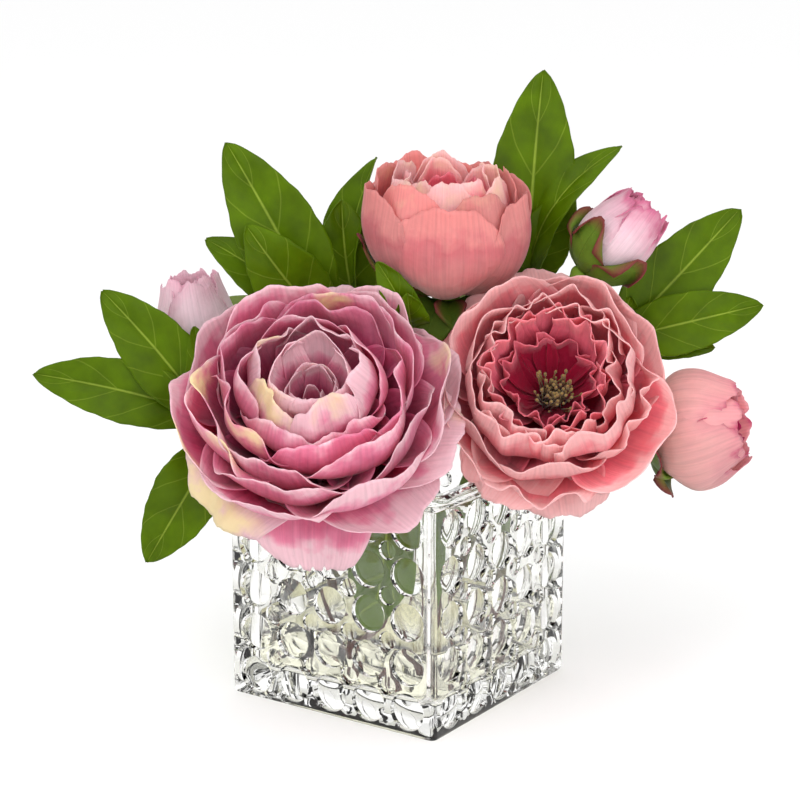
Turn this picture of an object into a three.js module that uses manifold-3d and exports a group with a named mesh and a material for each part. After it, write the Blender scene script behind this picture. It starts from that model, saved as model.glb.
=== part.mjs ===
// Artificial peonies in a square bubble-glass vase: three blooms, three buds and their leaves on
// wired stems, standing in clear set resin that looks like water.
// Millimetres, +Z up. The origin is the centre of the vase's underside, X and Y along its sides.
import * as THREE from "three";
import { mergeVertices } from "three/addons/utils/BufferGeometryUtils.js";
import Module from "manifold-3d";

const wasm = await Module();
wasm.setup();

// ---- Driving dimensions ----
const VASE_SIDE = 101.6;
const VASE_HEIGHT = 100;
const VASE_WALL = 6;
const VASE_FLOOR = 11;
const VASE_EDGE_RADIUS = 2.5;
const VASE_INNER_RADIUS = 8;
const RIM_HEIGHT = 4.5;
const RIM_CORNER_RADIUS = 13;
const WATER_DEPTH = 22;

const STEM_DIAMETER = 4;
const PETIOLE_DIAMETER = 2;
const LEAF_THICKNESS = 0.8;
const PETAL_THICKNESS = 1;
const SOCKET_LENGTH = 12;
const GAP = 0.3; // clearance between pieces that touch
const SEPAL_SLACK = 0.055; // how far sepals stand off the petals, as a share of the head's radius
const BUD_SEPAL_SLACK = 0.165; // the same for buds, whose sepals curl away

const MAUVE_RADIUS = 56;
const OPEN_RADIUS = 50;
const CUP_RADIUS = 33;
const UPPER_BUD_RADIUS = 15;
const RIGHT_BUD_RADIUS = 25;
const LEFT_BUD_RADIUS = 17;

// The bouquet faces the vase's near corner. In its own frame +X is to the right, -Y to the front.
const BOUQUET_TURN = 34.2;
// Heads and leaves are placed for a vase of this side, and spread with a wider or narrower one.
const PLACED_FOR_SIDE = 101.6;

const mouth = VASE_SIDE / 2 - VASE_WALL;
const stemRadius = STEM_DIAMETER / 2;
const petioleRadius = PETIOLE_DIAMETER / 2;
const waterTop = VASE_FLOOR + WATER_DEPTH;
const spread = VASE_SIDE / PLACED_FOR_SIDE;

// ---- Finishes ----
const finish = (color, roughness) => () =>
  new THREE.MeshStandardMaterial({ color, roughness, metalness: 0 });
const glass = () =>
  new THREE.MeshStandardMaterial({ color: 0xf2f5f2, roughness: 0.05, transparent: true, opacity: 0.35 });
const resin = () =>
  new THREE.MeshStandardMaterial({ color: 0xf0f2e2, roughness: 0.08, transparent: true, opacity: 0.4 });
const leafGreen = finish(0x3f7a1c, 0.55);
const sepalGreen = finish(0x5a8a2c, 0.55);
const stemGreen = finish(0x4c5a26, 0.5);
const mauve = finish(0xd58aac, 0.75);
const coral = finish(0xea8f93, 0.75);
const crimson = finish(0xc23a68, 0.75);
const palePink = finish(0xf0bccb, 0.75);
const stamenBrown = finish(0x8c6a35, 0.8);

// ---- Solids ----
const V = (x, y, z) => new THREE.Vector3(x, y, z);

// A closed geometry as a manifold solid.
function solid(geometry) {
  const bare = geometry.index ? geometry.toNonIndexed() : geometry.clone();
  bare.deleteAttribute("normal");
  bare.deleteAttribute("uv");
  const merged = mergeVertices(bare, 1e-4);
  return new wasm.Manifold(
    new wasm.Mesh({
      numProp: 3,
      vertProperties: merged.attributes.position.array,
      triVerts: new Uint32Array(merged.index.array),
    }),
  );
}

function geometryOf(manifold) {
  const mesh = manifold.getMesh();
  const geometry = new THREE.BufferGeometry();
  geometry.setAttribute("position", new THREE.BufferAttribute(new Float32Array(mesh.vertProperties), 3));
  geometry.setIndex(new THREE.BufferAttribute(new Uint32Array(mesh.triVerts), 1));
  geometry.computeVertexNormals();
  return geometry;
}

const joined = (geometries) =>
  geometryOf(geometries.map(solid).reduce((whole, next) => whole.add(next)));

function piece(name, geometry, material) {
  const mesh = new THREE.Mesh(geometry, material());
  mesh.name = name;
  return mesh;
}

function roundedSquare(side, radius) {
  const h = side / 2;
  const shape = new THREE.Shape();
  shape.moveTo(-h + radius, -h);
  shape.lineTo(h - radius, -h);
  shape.absarc(h - radius, -h + radius, radius, -Math.PI / 2, 0);
  shape.lineTo(h, h - radius);
  shape.absarc(h - radius, h - radius, radius, 0, Math.PI / 2);
  shape.lineTo(-h + radius, h);
  shape.absarc(-h + radius, h - radius, radius, Math.PI / 2, Math.PI);
  shape.lineTo(-h, -h + radius);
  shape.absarc(-h + radius, -h + radius, radius, Math.PI, 1.5 * Math.PI);
  return shape;
}

function block(side, radius, from, to, corner = 2) {
  const options = { depth: to - from, bevelEnabled: false, curveSegments: corner };
  return new THREE.ExtrudeGeometry(roundedSquare(side, radius), options).translate(0, 0, from);
}

// A round tube along a curve.
function tube(curve, radius, sides, steps) {
  const section = new THREE.Shape();
  section.absarc(0, 0, radius, 0, 2 * Math.PI);
  const options = { steps, curveSegments: sides / 2, bevelEnabled: false, extrudePath: curve };
  return new THREE.ExtrudeGeometry(section, options);
}

// ---- Vase and set water ----
function vase() {
  const body = solid(block(VASE_SIDE, VASE_EDGE_RADIUS, 0, VASE_HEIGHT - RIM_HEIGHT));
  const rim = solid(
    block(VASE_SIDE, RIM_CORNER_RADIUS, VASE_HEIGHT - RIM_HEIGHT - 1, VASE_HEIGHT, 4),
  );
  const inside = solid(block(2 * mouth, VASE_INNER_RADIUS, VASE_FLOOR, VASE_HEIGHT + 1));
  return piece("vase", geometryOf(body.add(rim).subtract(inside)), glass);
}

// The resin fills the vase's foot around whatever stands in it.
function setWater(curves) {
  const side = 2 * (mouth - GAP);
  const fill = solid(block(side, VASE_INNER_RADIUS - GAP, VASE_FLOOR + GAP, waterTop));
  const holes = curves.map((curve) => solid(tube(curve, stemRadius + GAP, 8, 16)));
  return piece("set_water", geometryOf(holes.reduce((rest, hole) => rest.subtract(hole), fill)), resin);
}

// ---- Flower heads ----
// A whorl of petals joined at the middle: a bowl turned about +Z whose edge runs in and out,
// petal by petal. profile lists (radius, height) from the middle to a petal's tip. under moves the
// whole bowl out below that line, and reach is the share of the line that it covers.
function whorl({ profile, petals, notch, turn = 0, under = 0, reach = 1, rows = 3, fan = 4 }) {
  const line = new THREE.SplineCurve(profile.map(([r, z]) => new THREE.Vector2(r, z)));
  const onLine = (t, side) => {
    const p = line.getPoint(t);
    const along = line.getTangent(Math.min(Math.max(t, 0.001), 0.999));
    const away = under + (side * PETAL_THICKNESS) / 2;
    const out = new THREE.Vector2(along.y, -along.x).multiplyScalar(away);
    return t < 1e-6 ? new THREE.Vector2(0, p.y - away) : p.add(out);
  };
  const steps = [];
  for (let row = 0; row <= rows; row++) steps.push([row / rows, 1]);
  for (let row = rows; row >= 0; row--) steps.push([row / rows, -1]);
  const round = petals * fan;
  const geometry = new THREE.LatheGeometry(steps.map(([t, side]) => onLine(t, side)), round);
  const position = geometry.attributes.position;
  for (let i = 0; i <= round; i++) {
    const angle = ((i % round) / round) * 2 * Math.PI;
    const dip = 1 - Math.abs(Math.cos((petals * angle) / 2));
    const share = reach * (1 - notch * dip * dip);
    steps.forEach(([t, side], j) => {
      const p = onLine(t * share, side);
      const phi = angle + THREE.MathUtils.degToRad(turn);
      position.setXYZ(i * steps.length + j, p.x * Math.cos(phi), p.x * Math.sin(phi), p.y);
    });
  }
  // The inside is split along the same diagonals as the outside, so that the wall stays as thick.
  const corners = geometry.index.array;
  for (let q = 0; q < corners.length; q += 6) {
    if ((q / 6) % (steps.length - 1) <= rows) continue;
    const [a, b, d, c] = corners.slice(q, q + 4);
    corners.set([a, b, c, c, d, a], q);
  }
  return geometry;
}

// A socket for the stem with a ring of sepals that lies under the outermost petals' line.
function calyx({ profile, petals, notch, reach, rows = 3, slack = SEPAL_SLACK, socket = 6, turn = 0 }) {
  const widest = Math.max(...profile.map(([r]) => r));
  const under = PETAL_THICKNESS + 2 * GAP + slack * widest;
  const top = profile[0][1] - under;
  const cup = [
    [0, -SOCKET_LENGTH],
    [stemRadius + 1, -SOCKET_LENGTH],
    [socket * 0.7, -SOCKET_LENGTH * 0.5],
    [socket, top],
    [0, top],
  ].map(([r, z]) => new THREE.Vector2(r, z));
  const holder = new THREE.LatheGeometry(cup, 12).rotateX(Math.PI / 2);
  return joined([whorl({ profile, petals, notch, turn, under, reach, rows }), holder]);
}

// Widens a profile so that its largest radius is the one given, and keeps its heights.
function widened(profile, radius, widest) {
  return profile.map(([r, z]) => [(r * radius) / widest, z]);
}

// A head stands on its receptacle, at its own origin, and looks along its own +Z.
function head({ at, turn = 0, rise, roll = 0 }) {
  const group = new THREE.Group();
  const a = THREE.MathUtils.degToRad(turn);
  const e = THREE.MathUtils.degToRad(rise);
  const axis = V(Math.sin(a) * Math.cos(e), -Math.cos(a) * Math.cos(e), Math.sin(e));
  const side = V(Math.cos(a), Math.sin(a), 0);
  const basis = new THREE.Matrix4().makeBasis(side, axis.clone().cross(side), axis);
  group.quaternion.setFromRotationMatrix(basis);
  group.rotateZ(THREE.MathUtils.degToRad(roll));
  group.position.copy(at);
  group.userData.foot = at.clone().addScaledVector(axis, -SOCKET_LENGTH - GAP);
  group.userData.axis = axis;
  return group;
}

const aboveRim = (x, y, z) => V(x * spread, y * spread, VASE_HEIGHT + z);

// Petals are listed from the outermost whorl to the innermost.
function bloom({ name, at, turn, rise, radius, sepals, whorls }) {
  const group = head({ at, turn, rise });
  const widest = Math.max(...whorls[0].profile.map(([r]) => r));
  const fitted = whorls.map((one) => ({ ...one, profile: widened(one.profile, radius, widest) }));
  const under = calyx({ profile: fitted[0].profile, petals: 5, ...sepals });
  group.add(piece(name + "_calyx", under, sepalGreen));
  for (const one of fitted) group.add(piece(`${name}_${one.layer}_petals`, whorl(one), one.colour));
  return group;
}

const mauveBloom = () =>
  bloom({
    name: "mauve", at: aboveRim(-32, -39, 14), turn: -4, rise: 48, radius: MAUVE_RADIUS,
    sepals: { reach: 0.38, notch: 0.45 },
    whorls: [
      {
        layer: "guard", petals: 7, notch: 0.3, turn: 41, colour: mauve, rows: 4,
        profile: [[0, 1], [14, 2.5], [32, 9], [48, 15], [56, 13]],
      },
      {
        layer: "outer", petals: 7, notch: 0.25, colour: mauve,
        profile: [[0, 3.5], [14, 6], [31, 15], [45, 28], [51, 38]],
      },
      {
        layer: "middle", petals: 7, notch: 0.2, turn: 26, colour: mauve,
        profile: [[0, 6], [12, 9.5], [26, 22], [37, 38], [40, 50]],
      },
      {
        layer: "inner", petals: 6, notch: 0.18, turn: 20, colour: mauve,
        profile: [[0, 8.5], [10, 13], [20, 28], [28, 45], [27, 57]],
      },
      {
        layer: "heart", petals: 5, notch: 0.2, colour: crimson,
        profile: [[0, 11], [6, 17], [12, 32], [17, 46], [13, 56]],
      },
    ],
  });

const openBloom = () => {
  const group = bloom({
    name: "coral_open", at: aboveRim(61, -13, 23), turn: 2, rise: 29, radius: OPEN_RADIUS,
    sepals: { reach: 0.38, notch: 0.45 },
    whorls: [
      {
        layer: "guard", petals: 7, notch: 0.4, turn: 3, colour: palePink, rows: 4,
        profile: [[0, 1], [12, 2], [28, 7], [42, 13], [50, 12]],
      },
      {
        layer: "outer", petals: 7, notch: 0.25, turn: 12, colour: coral,
        profile: [[0, 3.5], [12, 5.5], [27, 13], [39, 24], [44, 33]],
      },
      {
        layer: "middle", petals: 6, notch: 0.25, turn: 30, colour: coral,
        profile: [[0, 6], [11, 9], [22, 19], [31, 31], [33, 41]],
      },
      {
        layer: "inner", petals: 5, notch: 0.25, colour: crimson,
        profile: [[0, 8.5], [9, 13], [16, 24], [21, 34], [19, 42]],
      },
    ],
  });
  group.add(piece("coral_open_stamens", stamens({ from: 12, to: 30, radius: 7 }), stamenBrown));
  return group;
};

// The tuft of stamens as one plain bundle.
function stamens({ from, to, radius }) {
  const line = [
    [0, from],
    [radius * 0.5, from],
    [radius, to - 5],
    [radius * 0.6, to - 1],
    [0, to],
  ].map(([r, z]) => new THREE.Vector2(r, z));
  return new THREE.LatheGeometry(line, 14).rotateX(Math.PI / 2);
}

const cupBloom = () =>
  bloom({
    name: "coral_cup", at: aboveRim(19, 4, 67), turn: 0, rise: 82, radius: CUP_RADIUS,
    sepals: { reach: 0.5, notch: 0.5, turn: 36 },
    whorls: [
      {
        layer: "outer", petals: 5, notch: 0.15, colour: coral, rows: 4,
        profile: [[0, 1], [14, 3], [28, 14], [33, 32], [29, 50]],
      },
      {
        layer: "middle", petals: 5, notch: 0.12, turn: 36, colour: coral,
        profile: [[0, 3.5], [12, 6.5], [23.5, 17], [28, 34], [24, 53]],
      },
      {
        layer: "inner", petals: 5, notch: 0.15, colour: coral,
        profile: [[0, 6], [10, 10], [18.5, 20], [22, 36], [18, 54]],
      },
      {
        layer: "heart", petals: 4, notch: 0.2, turn: 20, colour: crimson,
        profile: [[0, 9], [7, 14], [12.5, 26], [14.5, 39], [10, 50]],
      },
    ],
  });

// A bud: sepals, a wrap of outer petals and a wrap of inner petals, all nearly closed.
function bud({ name, at, turn, rise, roll = 0, radius, length, colour, sepals = 4 }) {
  const group = head({ at, turn, rise, roll });
  const shape = (profile) => profile.map(([r, z]) => [r * radius, z * length]);
  const outer = shape([[0, 0.03], [0.6, 0.09], [1, 0.36], [0.98, 0.68], [0.55, 1]]);
  const inner = shape([[0, 0.13], [0.45, 0.22], [0.74, 0.45], [0.7, 0.72], [0.28, 0.95]]);
  const cup = calyx({
    profile: outer, petals: sepals, reach: 0.7, notch: 0.55, rows: 4, slack: BUD_SEPAL_SLACK,
    socket: 5, turn: 45,
  });
  group.add(
    piece(name + "_calyx", cup, sepalGreen),
    piece(name + "_outer_petals", whorl({ profile: outer, petals: 3, notch: 0.15, fan: 6, rows: 5 }), colour),
    piece(name + "_inner_petals", whorl({ profile: inner, petals: 3, notch: 0.15, turn: 60, fan: 6 }), coral),
  );
  return group;
}

// ---- Stems ----
// A stem leaves its head straight, passes the mouth at its neck and stands in the set water.
// Points inside the vase are shares of the mouth's half width, so they stay inside it.
const inVase = (x, y, z) => V(x * mouth, y * mouth, z);
const neckZ = VASE_HEIGHT - 6;
const midZ = (waterTop + VASE_HEIGHT) / 2 - 12;
const footZ = VASE_FLOOR + 3;

function stemCurve(headGroup, ...points) {
  const { foot, axis } = headGroup.userData;
  const straight = foot.clone().addScaledVector(axis, -6);
  return new THREE.CatmullRomCurve3([foot, straight, ...points]);
}

const stem = (name, curve) => piece(name, tube(curve, stemRadius, 8, 14), stemGreen);

// ---- Leaves ----
// One leaflet: a thin slab drawn out to a point, folded along its midrib and arched.
function leaflet({ from, to, width, face, arch = 0.1, fold = 0.2 }) {
  const along = to.clone().sub(from);
  const length = along.length();
  const normal = face.clone().addScaledVector(along, -face.dot(along) / along.lengthSq()).normalize();
  const side = along.clone().normalize().cross(normal);
  const slab = new THREE.BoxGeometry(2, 1, 1, 2, 6, 1);
  const position = slab.attributes.position;
  for (let i = 0; i < position.count; i++) {
    const s = position.getY(i) + 0.5;
    const across = position.getX(i);
    const half = (width / 2) * Math.sin(Math.PI * s ** 0.8) ** 0.85 + 0.7 - 0.3 * s;
    const lift = arch * length * 4 * s * (1 - s) + fold * half * Math.abs(across);
    const p = from
      .clone()
      .addScaledVector(along, s)
      .addScaledVector(side, across * half)
      .addScaledVector(normal, lift + position.getZ(i) * LEAF_THICKNESS);
    position.setXYZ(i, p.x, p.y, p.z);
  }
  return slab;
}

// A leaf: leaflets that meet at a node, on a stalk clipped beside a stem.
function leaf({ name, on, share, via = [], node, leaflets, face = V(0, -1, 0.3) }) {
  const start = on.getPointAt(share);
  const tangent = on.getTangentAt(share);
  const toward = (via[0] ?? node).clone().sub(start);
  const out = toward.addScaledVector(tangent, -toward.dot(tangent)).normalize();
  const clip = start.clone().addScaledVector(out, stemRadius + petioleRadius + GAP);
  const middle = leaflets
    .reduce((sum, one) => sum.add(one.to), V(0, 0, 0))
    .divideScalar(leaflets.length);
  const end = node.clone().add(middle.sub(node).setLength(4));
  const stalk = tube(new THREE.CatmullRomCurve3([clip, ...via, node, end]), petioleRadius, 6, 8);
  const blades = leaflets.map((one) => leaflet({ from: node, face, ...one }));
  return piece(name, joined([stalk, ...blades]), leafGreen);
}

// ---- Assembly ----
const mauveHead = mauveBloom();
const openHead = openBloom();
const cupHead = cupBloom();
const upperBud = bud({
  name: "upper_bud", at: aboveRim(76, 5, 76), turn: 90, rise: 48,
  radius: UPPER_BUD_RADIUS, length: 38, colour: palePink,
});
const rightBud = bud({
  name: "right_bud", at: aboveRim(104, 5, 5), turn: 76, rise: 14,
  radius: RIGHT_BUD_RADIUS, length: 40, colour: coral, sepals: 5,
});
const leftBud = bud({
  name: "left_bud", at: aboveRim(-82, 20, 27), turn: -90, rise: 82,
  radius: LEFT_BUD_RADIUS, length: 44, colour: palePink,
});

const curves = {
  mauve: stemCurve(
    mauveHead,
    inVase(-0.58, -0.36, neckZ),
    inVase(-0.4, -0.08, midZ),
    inVase(-0.18, 0.13, footZ),
  ),
  open: stemCurve(
    openHead,
    aboveRim(54, 9, 7),
    inVase(1.0, 0.2, neckZ),
    inVase(0.9, 0, midZ),
    inVase(0.76, -0.22, footZ),
  ),
  cup: stemCurve(
    cupHead,
    aboveRim(18, 0, 30),
    inVase(0.2, -0.22, neckZ),
    inVase(0, -0.5, midZ),
    inVase(-0.3, -0.54, footZ),
  ),
  upper: stemCurve(
    upperBud,
    aboveRim(48, 14, 18),
    inVase(0.72, 0.36, neckZ),
    inVase(0.42, 0.36, midZ),
    inVase(0.2, 0.36, footZ),
  ),
  right: stemCurve(
    rightBud,
    aboveRim(64, 12, 8),
    inVase(0.98, 0.44, neckZ),
    inVase(0.6, 0.5, midZ),
    inVase(0.36, 0.56, footZ),
  ),
  left: stemCurve(
    leftBud,
    aboveRim(-64, 9, 10),
    inVase(-0.9, 0.08, neckZ),
    inVase(-0.66, 0.1, midZ),
    inVase(-0.5, 0.13, footZ),
  ),
};

const leaves = [
  leaf({
    name: "leaf_left", on: curves.left, share: 0.22, node: aboveRim(-80, -2, 18),
    leaflets: [
      { to: aboveRim(-152, 5, 33), width: 23 },
      { to: aboveRim(-123, 10, 67), width: 25 },
      { to: aboveRim(-84, -4, 55), width: 12 },
    ],
  }),
  leaf({
    name: "leaf_lower_left", on: curves.left, share: 0.3, via: [aboveRim(-62, -6, 9)],
    node: aboveRim(-74, -20, 10), leaflets: [{ to: aboveRim(-103, -32, -37), width: 24, arch: 0.12 }],
  }),
  leaf({
    name: "leaf_upper_left", on: curves.cup, share: 0.3, via: [aboveRim(-16, 12, 25)],
    node: aboveRim(-32, 10, 54),
    leaflets: [
      { to: aboveRim(-71, 14, 128), width: 31 },
      { to: aboveRim(-80, 14, 88), width: 21, face: V(0, -1, 0.6) },
      { to: aboveRim(-62, -6, 97), width: 26 },
    ],
  }),
  leaf({
    name: "leaf_centre", on: curves.cup, share: 0.2, via: [aboveRim(-6, 16, 40)], node: aboveRim(-19, 23, 57),
    leaflets: [
      { to: aboveRim(-10, 27, 120), width: 22, face: V(-0.8, -0.6, 0), fold: 0.5 },
      { to: aboveRim(-24, 14, 104), width: 24 },
    ],
  }),
  leaf({
    name: "leaf_small_front", on: curves.cup, share: 0.1, node: aboveRim(5, -18, 57),
    leaflets: [
      { to: aboveRim(-9, -26, 86), width: 12 },
      { to: aboveRim(3, -32, 74), width: 13 },
    ],
  }),
  leaf({
    name: "leaf_top", on: curves.upper, share: 0.2, node: aboveRim(54, 36, 66),
    leaflets: [
      { to: aboveRim(60, 45, 154), width: 32 },
      { to: aboveRim(92, 32, 124), width: 19, arch: 0.2, face: V(0, -0.5, 1) },
      { to: aboveRim(72, 30, 106), width: 20 },
    ],
  }),
  leaf({
    name: "leaf_right", on: curves.upper, share: 0.34, via: [aboveRim(70, 16, 26)],
    node: aboveRim(91, 17, 45),
    leaflets: [
      { to: aboveRim(142, 29, 98), width: 27, arch: 0.04 },
      { to: aboveRim(151, 16, 60), width: 22 },
      { to: aboveRim(131, 12, 42), width: 13, arch: 0.04 },
      { to: aboveRim(96, 17, 63), width: 12, arch: 0 },
    ],
  }),
  leaf({
    name: "leaf_in_vase", on: curves.cup, share: 0.52, node: aboveRim(-2, -30, -6),
    leaflets: [{ to: V(-10, -36, waterTop + 4), width: 26, arch: 0.02 }],
  }),
  leaf({
    name: "leaf_back_left", on: curves.left, share: 0.34, via: [aboveRim(-44, 26, 10)],
    node: aboveRim(-38, 44, 20), face: V(0, 1, 0.7),
    leaflets: [
      { to: aboveRim(-78, 76, 50), width: 24 },
      { to: aboveRim(-46, 96, 28), width: 27 },
      { to: aboveRim(-14, 84, 50), width: 22 },
    ],
  }),
  leaf({
    name: "leaf_back_right", on: curves.upper, share: 0.42, via: [aboveRim(42, 34, 16)],
    node: aboveRim(42, 46, 28), face: V(0, 1, 0.7),
    leaflets: [
      { to: aboveRim(84, 74, 60), width: 24 },
      { to: aboveRim(52, 96, 36), width: 27 },
      { to: aboveRim(18, 78, 66), width: 22 },
    ],
  }),
];

const bouquet = new THREE.Group();
bouquet.rotateZ(THREE.MathUtils.degToRad(BOUQUET_TURN));
bouquet.add(mauveHead, openHead, cupHead, upperBud, rightBud, leftBud);
bouquet.add(
  stem("mauve_stem", curves.mauve),
  stem("coral_open_stem", curves.open),
  stem("coral_cup_stem", curves.cup),
  stem("upper_bud_stem", curves.upper),
  stem("right_bud_stem", curves.right),
  stem("left_bud_stem", curves.left),
  ...leaves,
);

// The resin is cut in the vase's frame, so the stems' lines are turned into it first.
const inVaseFrame = (curve) => {
  const turned = curve.clone();
  const axis = V(0, 0, 1);
  const turn = THREE.MathUtils.degToRad(BOUQUET_TURN);
  turned.points = curve.points.map((p) => p.clone().applyAxisAngle(axis, turn));
  return turned;
};

const peonies = new THREE.Group();
peonies.add(vase(), setWater(Object.values(curves).map(inVaseFrame)), bouquet);

export default peonies;
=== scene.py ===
"""Artificial peonies in a square bubble-glass vase: the visible model around the packed frame.

Lengths in the tables below are millimetres, and bouquet points are given as in the frame's solids:
+X to the right, -Y to the front and Z up from the vase's shoulder, turned about the vase's axis.
"""

import math
import random
from functools import partial

import bmesh
import bpy
import numpy as np
from mathutils import Euler, Matrix, Vector
from mathutils.geometry import delaunay_2d_cdt


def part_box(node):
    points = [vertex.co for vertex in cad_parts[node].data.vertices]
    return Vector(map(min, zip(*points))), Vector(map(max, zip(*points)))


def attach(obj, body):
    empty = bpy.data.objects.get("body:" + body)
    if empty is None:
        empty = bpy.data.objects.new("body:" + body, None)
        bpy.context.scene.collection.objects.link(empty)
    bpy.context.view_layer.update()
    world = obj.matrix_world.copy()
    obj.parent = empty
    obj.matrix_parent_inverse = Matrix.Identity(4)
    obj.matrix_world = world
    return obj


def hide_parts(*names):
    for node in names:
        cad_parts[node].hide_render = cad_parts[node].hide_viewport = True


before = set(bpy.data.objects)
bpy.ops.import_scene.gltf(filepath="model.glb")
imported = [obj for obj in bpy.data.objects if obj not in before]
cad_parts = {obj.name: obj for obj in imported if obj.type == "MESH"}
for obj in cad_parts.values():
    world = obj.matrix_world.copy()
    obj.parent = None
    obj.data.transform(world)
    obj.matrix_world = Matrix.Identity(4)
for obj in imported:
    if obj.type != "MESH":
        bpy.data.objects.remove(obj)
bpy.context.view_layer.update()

bl_info = {
    "name": "Peonies in a bubble-glass vase",
    "version": (1, 0, 0),
    "blender": (4, 5, 0),
    "location": "3D View > Sidebar > Peonies",
    "description": "Builds artificial peonies, buds and leaves in a square bubble-glass vase",
    "category": "Add Mesh",
}

MM = 0.001
BOUQUET_TURN = math.radians(34.2)
VASE_LOW, VASE_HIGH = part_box("vase")
WATER_LOW, WATER_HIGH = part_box("set_water")
VASE_SIDE = (VASE_HIGH.x - VASE_LOW.x) / MM
VASE_HEIGHT = (VASE_HIGH.z - VASE_LOW.z) / MM
SHOULDER = 100.0  # the level that bouquet heights are given from
VASE_WALL = 6.0
MOUTH = VASE_SIDE / 2 - VASE_WALL
WATER_TOP = WATER_HIGH.z / MM
STEM_RADIUS = 2.0
PETIOLE_RADIUS = 1.0
GAP = 0.3
SOCKET_LENGTH = 12.0
NECK_Z, FOOT_Z = 94.0, 14.0
MID_Z = (WATER_TOP + SHOULDER) / 2 - 12


# ---- Colours and node trees ----
def linear(code):
    """An sRGB hex colour as linear red, green, blue and alpha."""
    channels = [int(code[i : i + 2], 16) / 255 for i in (1, 3, 5)]
    return tuple(c / 12.92 if c <= 0.04045 else ((c + 0.055) / 1.055) ** 2.4 for c in channels) + (1.0,)


def add(tree, kind, inputs=None, stops=None, **settings):
    """Adds a node with its settings, and fills or links its inputs. A node given as an input stands
    for its first output in use, a list links several to one input, and stops are a ramp's."""
    made = tree.nodes.new(kind)
    for name, value in settings.items():
        setattr(made, name, value)
    for key, value in (inputs or {}).items():
        for one in value if isinstance(value, list) else [value]:
            if isinstance(one, bpy.types.Node):
                one = next(socket for socket in one.outputs if socket.enabled)
            if isinstance(one, bpy.types.NodeSocket):
                tree.links.new(one, made.inputs[key])
            else:
                made.inputs[key].default_value = one
    for i, (place, colour) in enumerate(stops or ()):
        ramp = made.color_ramp.elements
        element = ramp[i] if i < 2 else ramp.new(place)
        element.position, element.color = place, colour
    return made


def new_material(name):
    """The material of that name, and the function that adds its nodes, or None if it has them."""
    material = bpy.data.materials.get(name)
    if material:
        return material, None
    material = bpy.data.materials.new(name)
    material.use_nodes = True
    material.node_tree.nodes.clear()
    return material, partial(add, material.node_tree)


def new_group(name, **sockets):
    """A Geometry Nodes group with named inputs, the function that adds its nodes, and what it is given."""
    tree = bpy.data.node_groups.new(name, "GeometryNodeTree")
    tree.interface.new_socket(name="Geometry", in_out="OUTPUT", socket_type="NodeSocketGeometry")
    for kind, names in {"Geometry": ["Geometry"], **sockets, "Material": ["Material"]}.items():
        for one in names:
            tree.interface.new_socket(name=one, in_out="INPUT", socket_type="NodeSocket" + kind)
    return tree, partial(add, tree), tree.nodes.new("NodeGroupInput").outputs


# ---- Materials ----
GLASS_IOR, RESIN_IOR = 1.52, 1.5
RIPPLE = 0.04  # strength of the ripple in both clear bodies
CLEAR_DEPTH = 7.0  # faces that light is bent through before it goes straight on
STEM_BROWN, STEM_GREEN = 0.052, 0.088  # heights in metres between which a stem turns green


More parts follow.
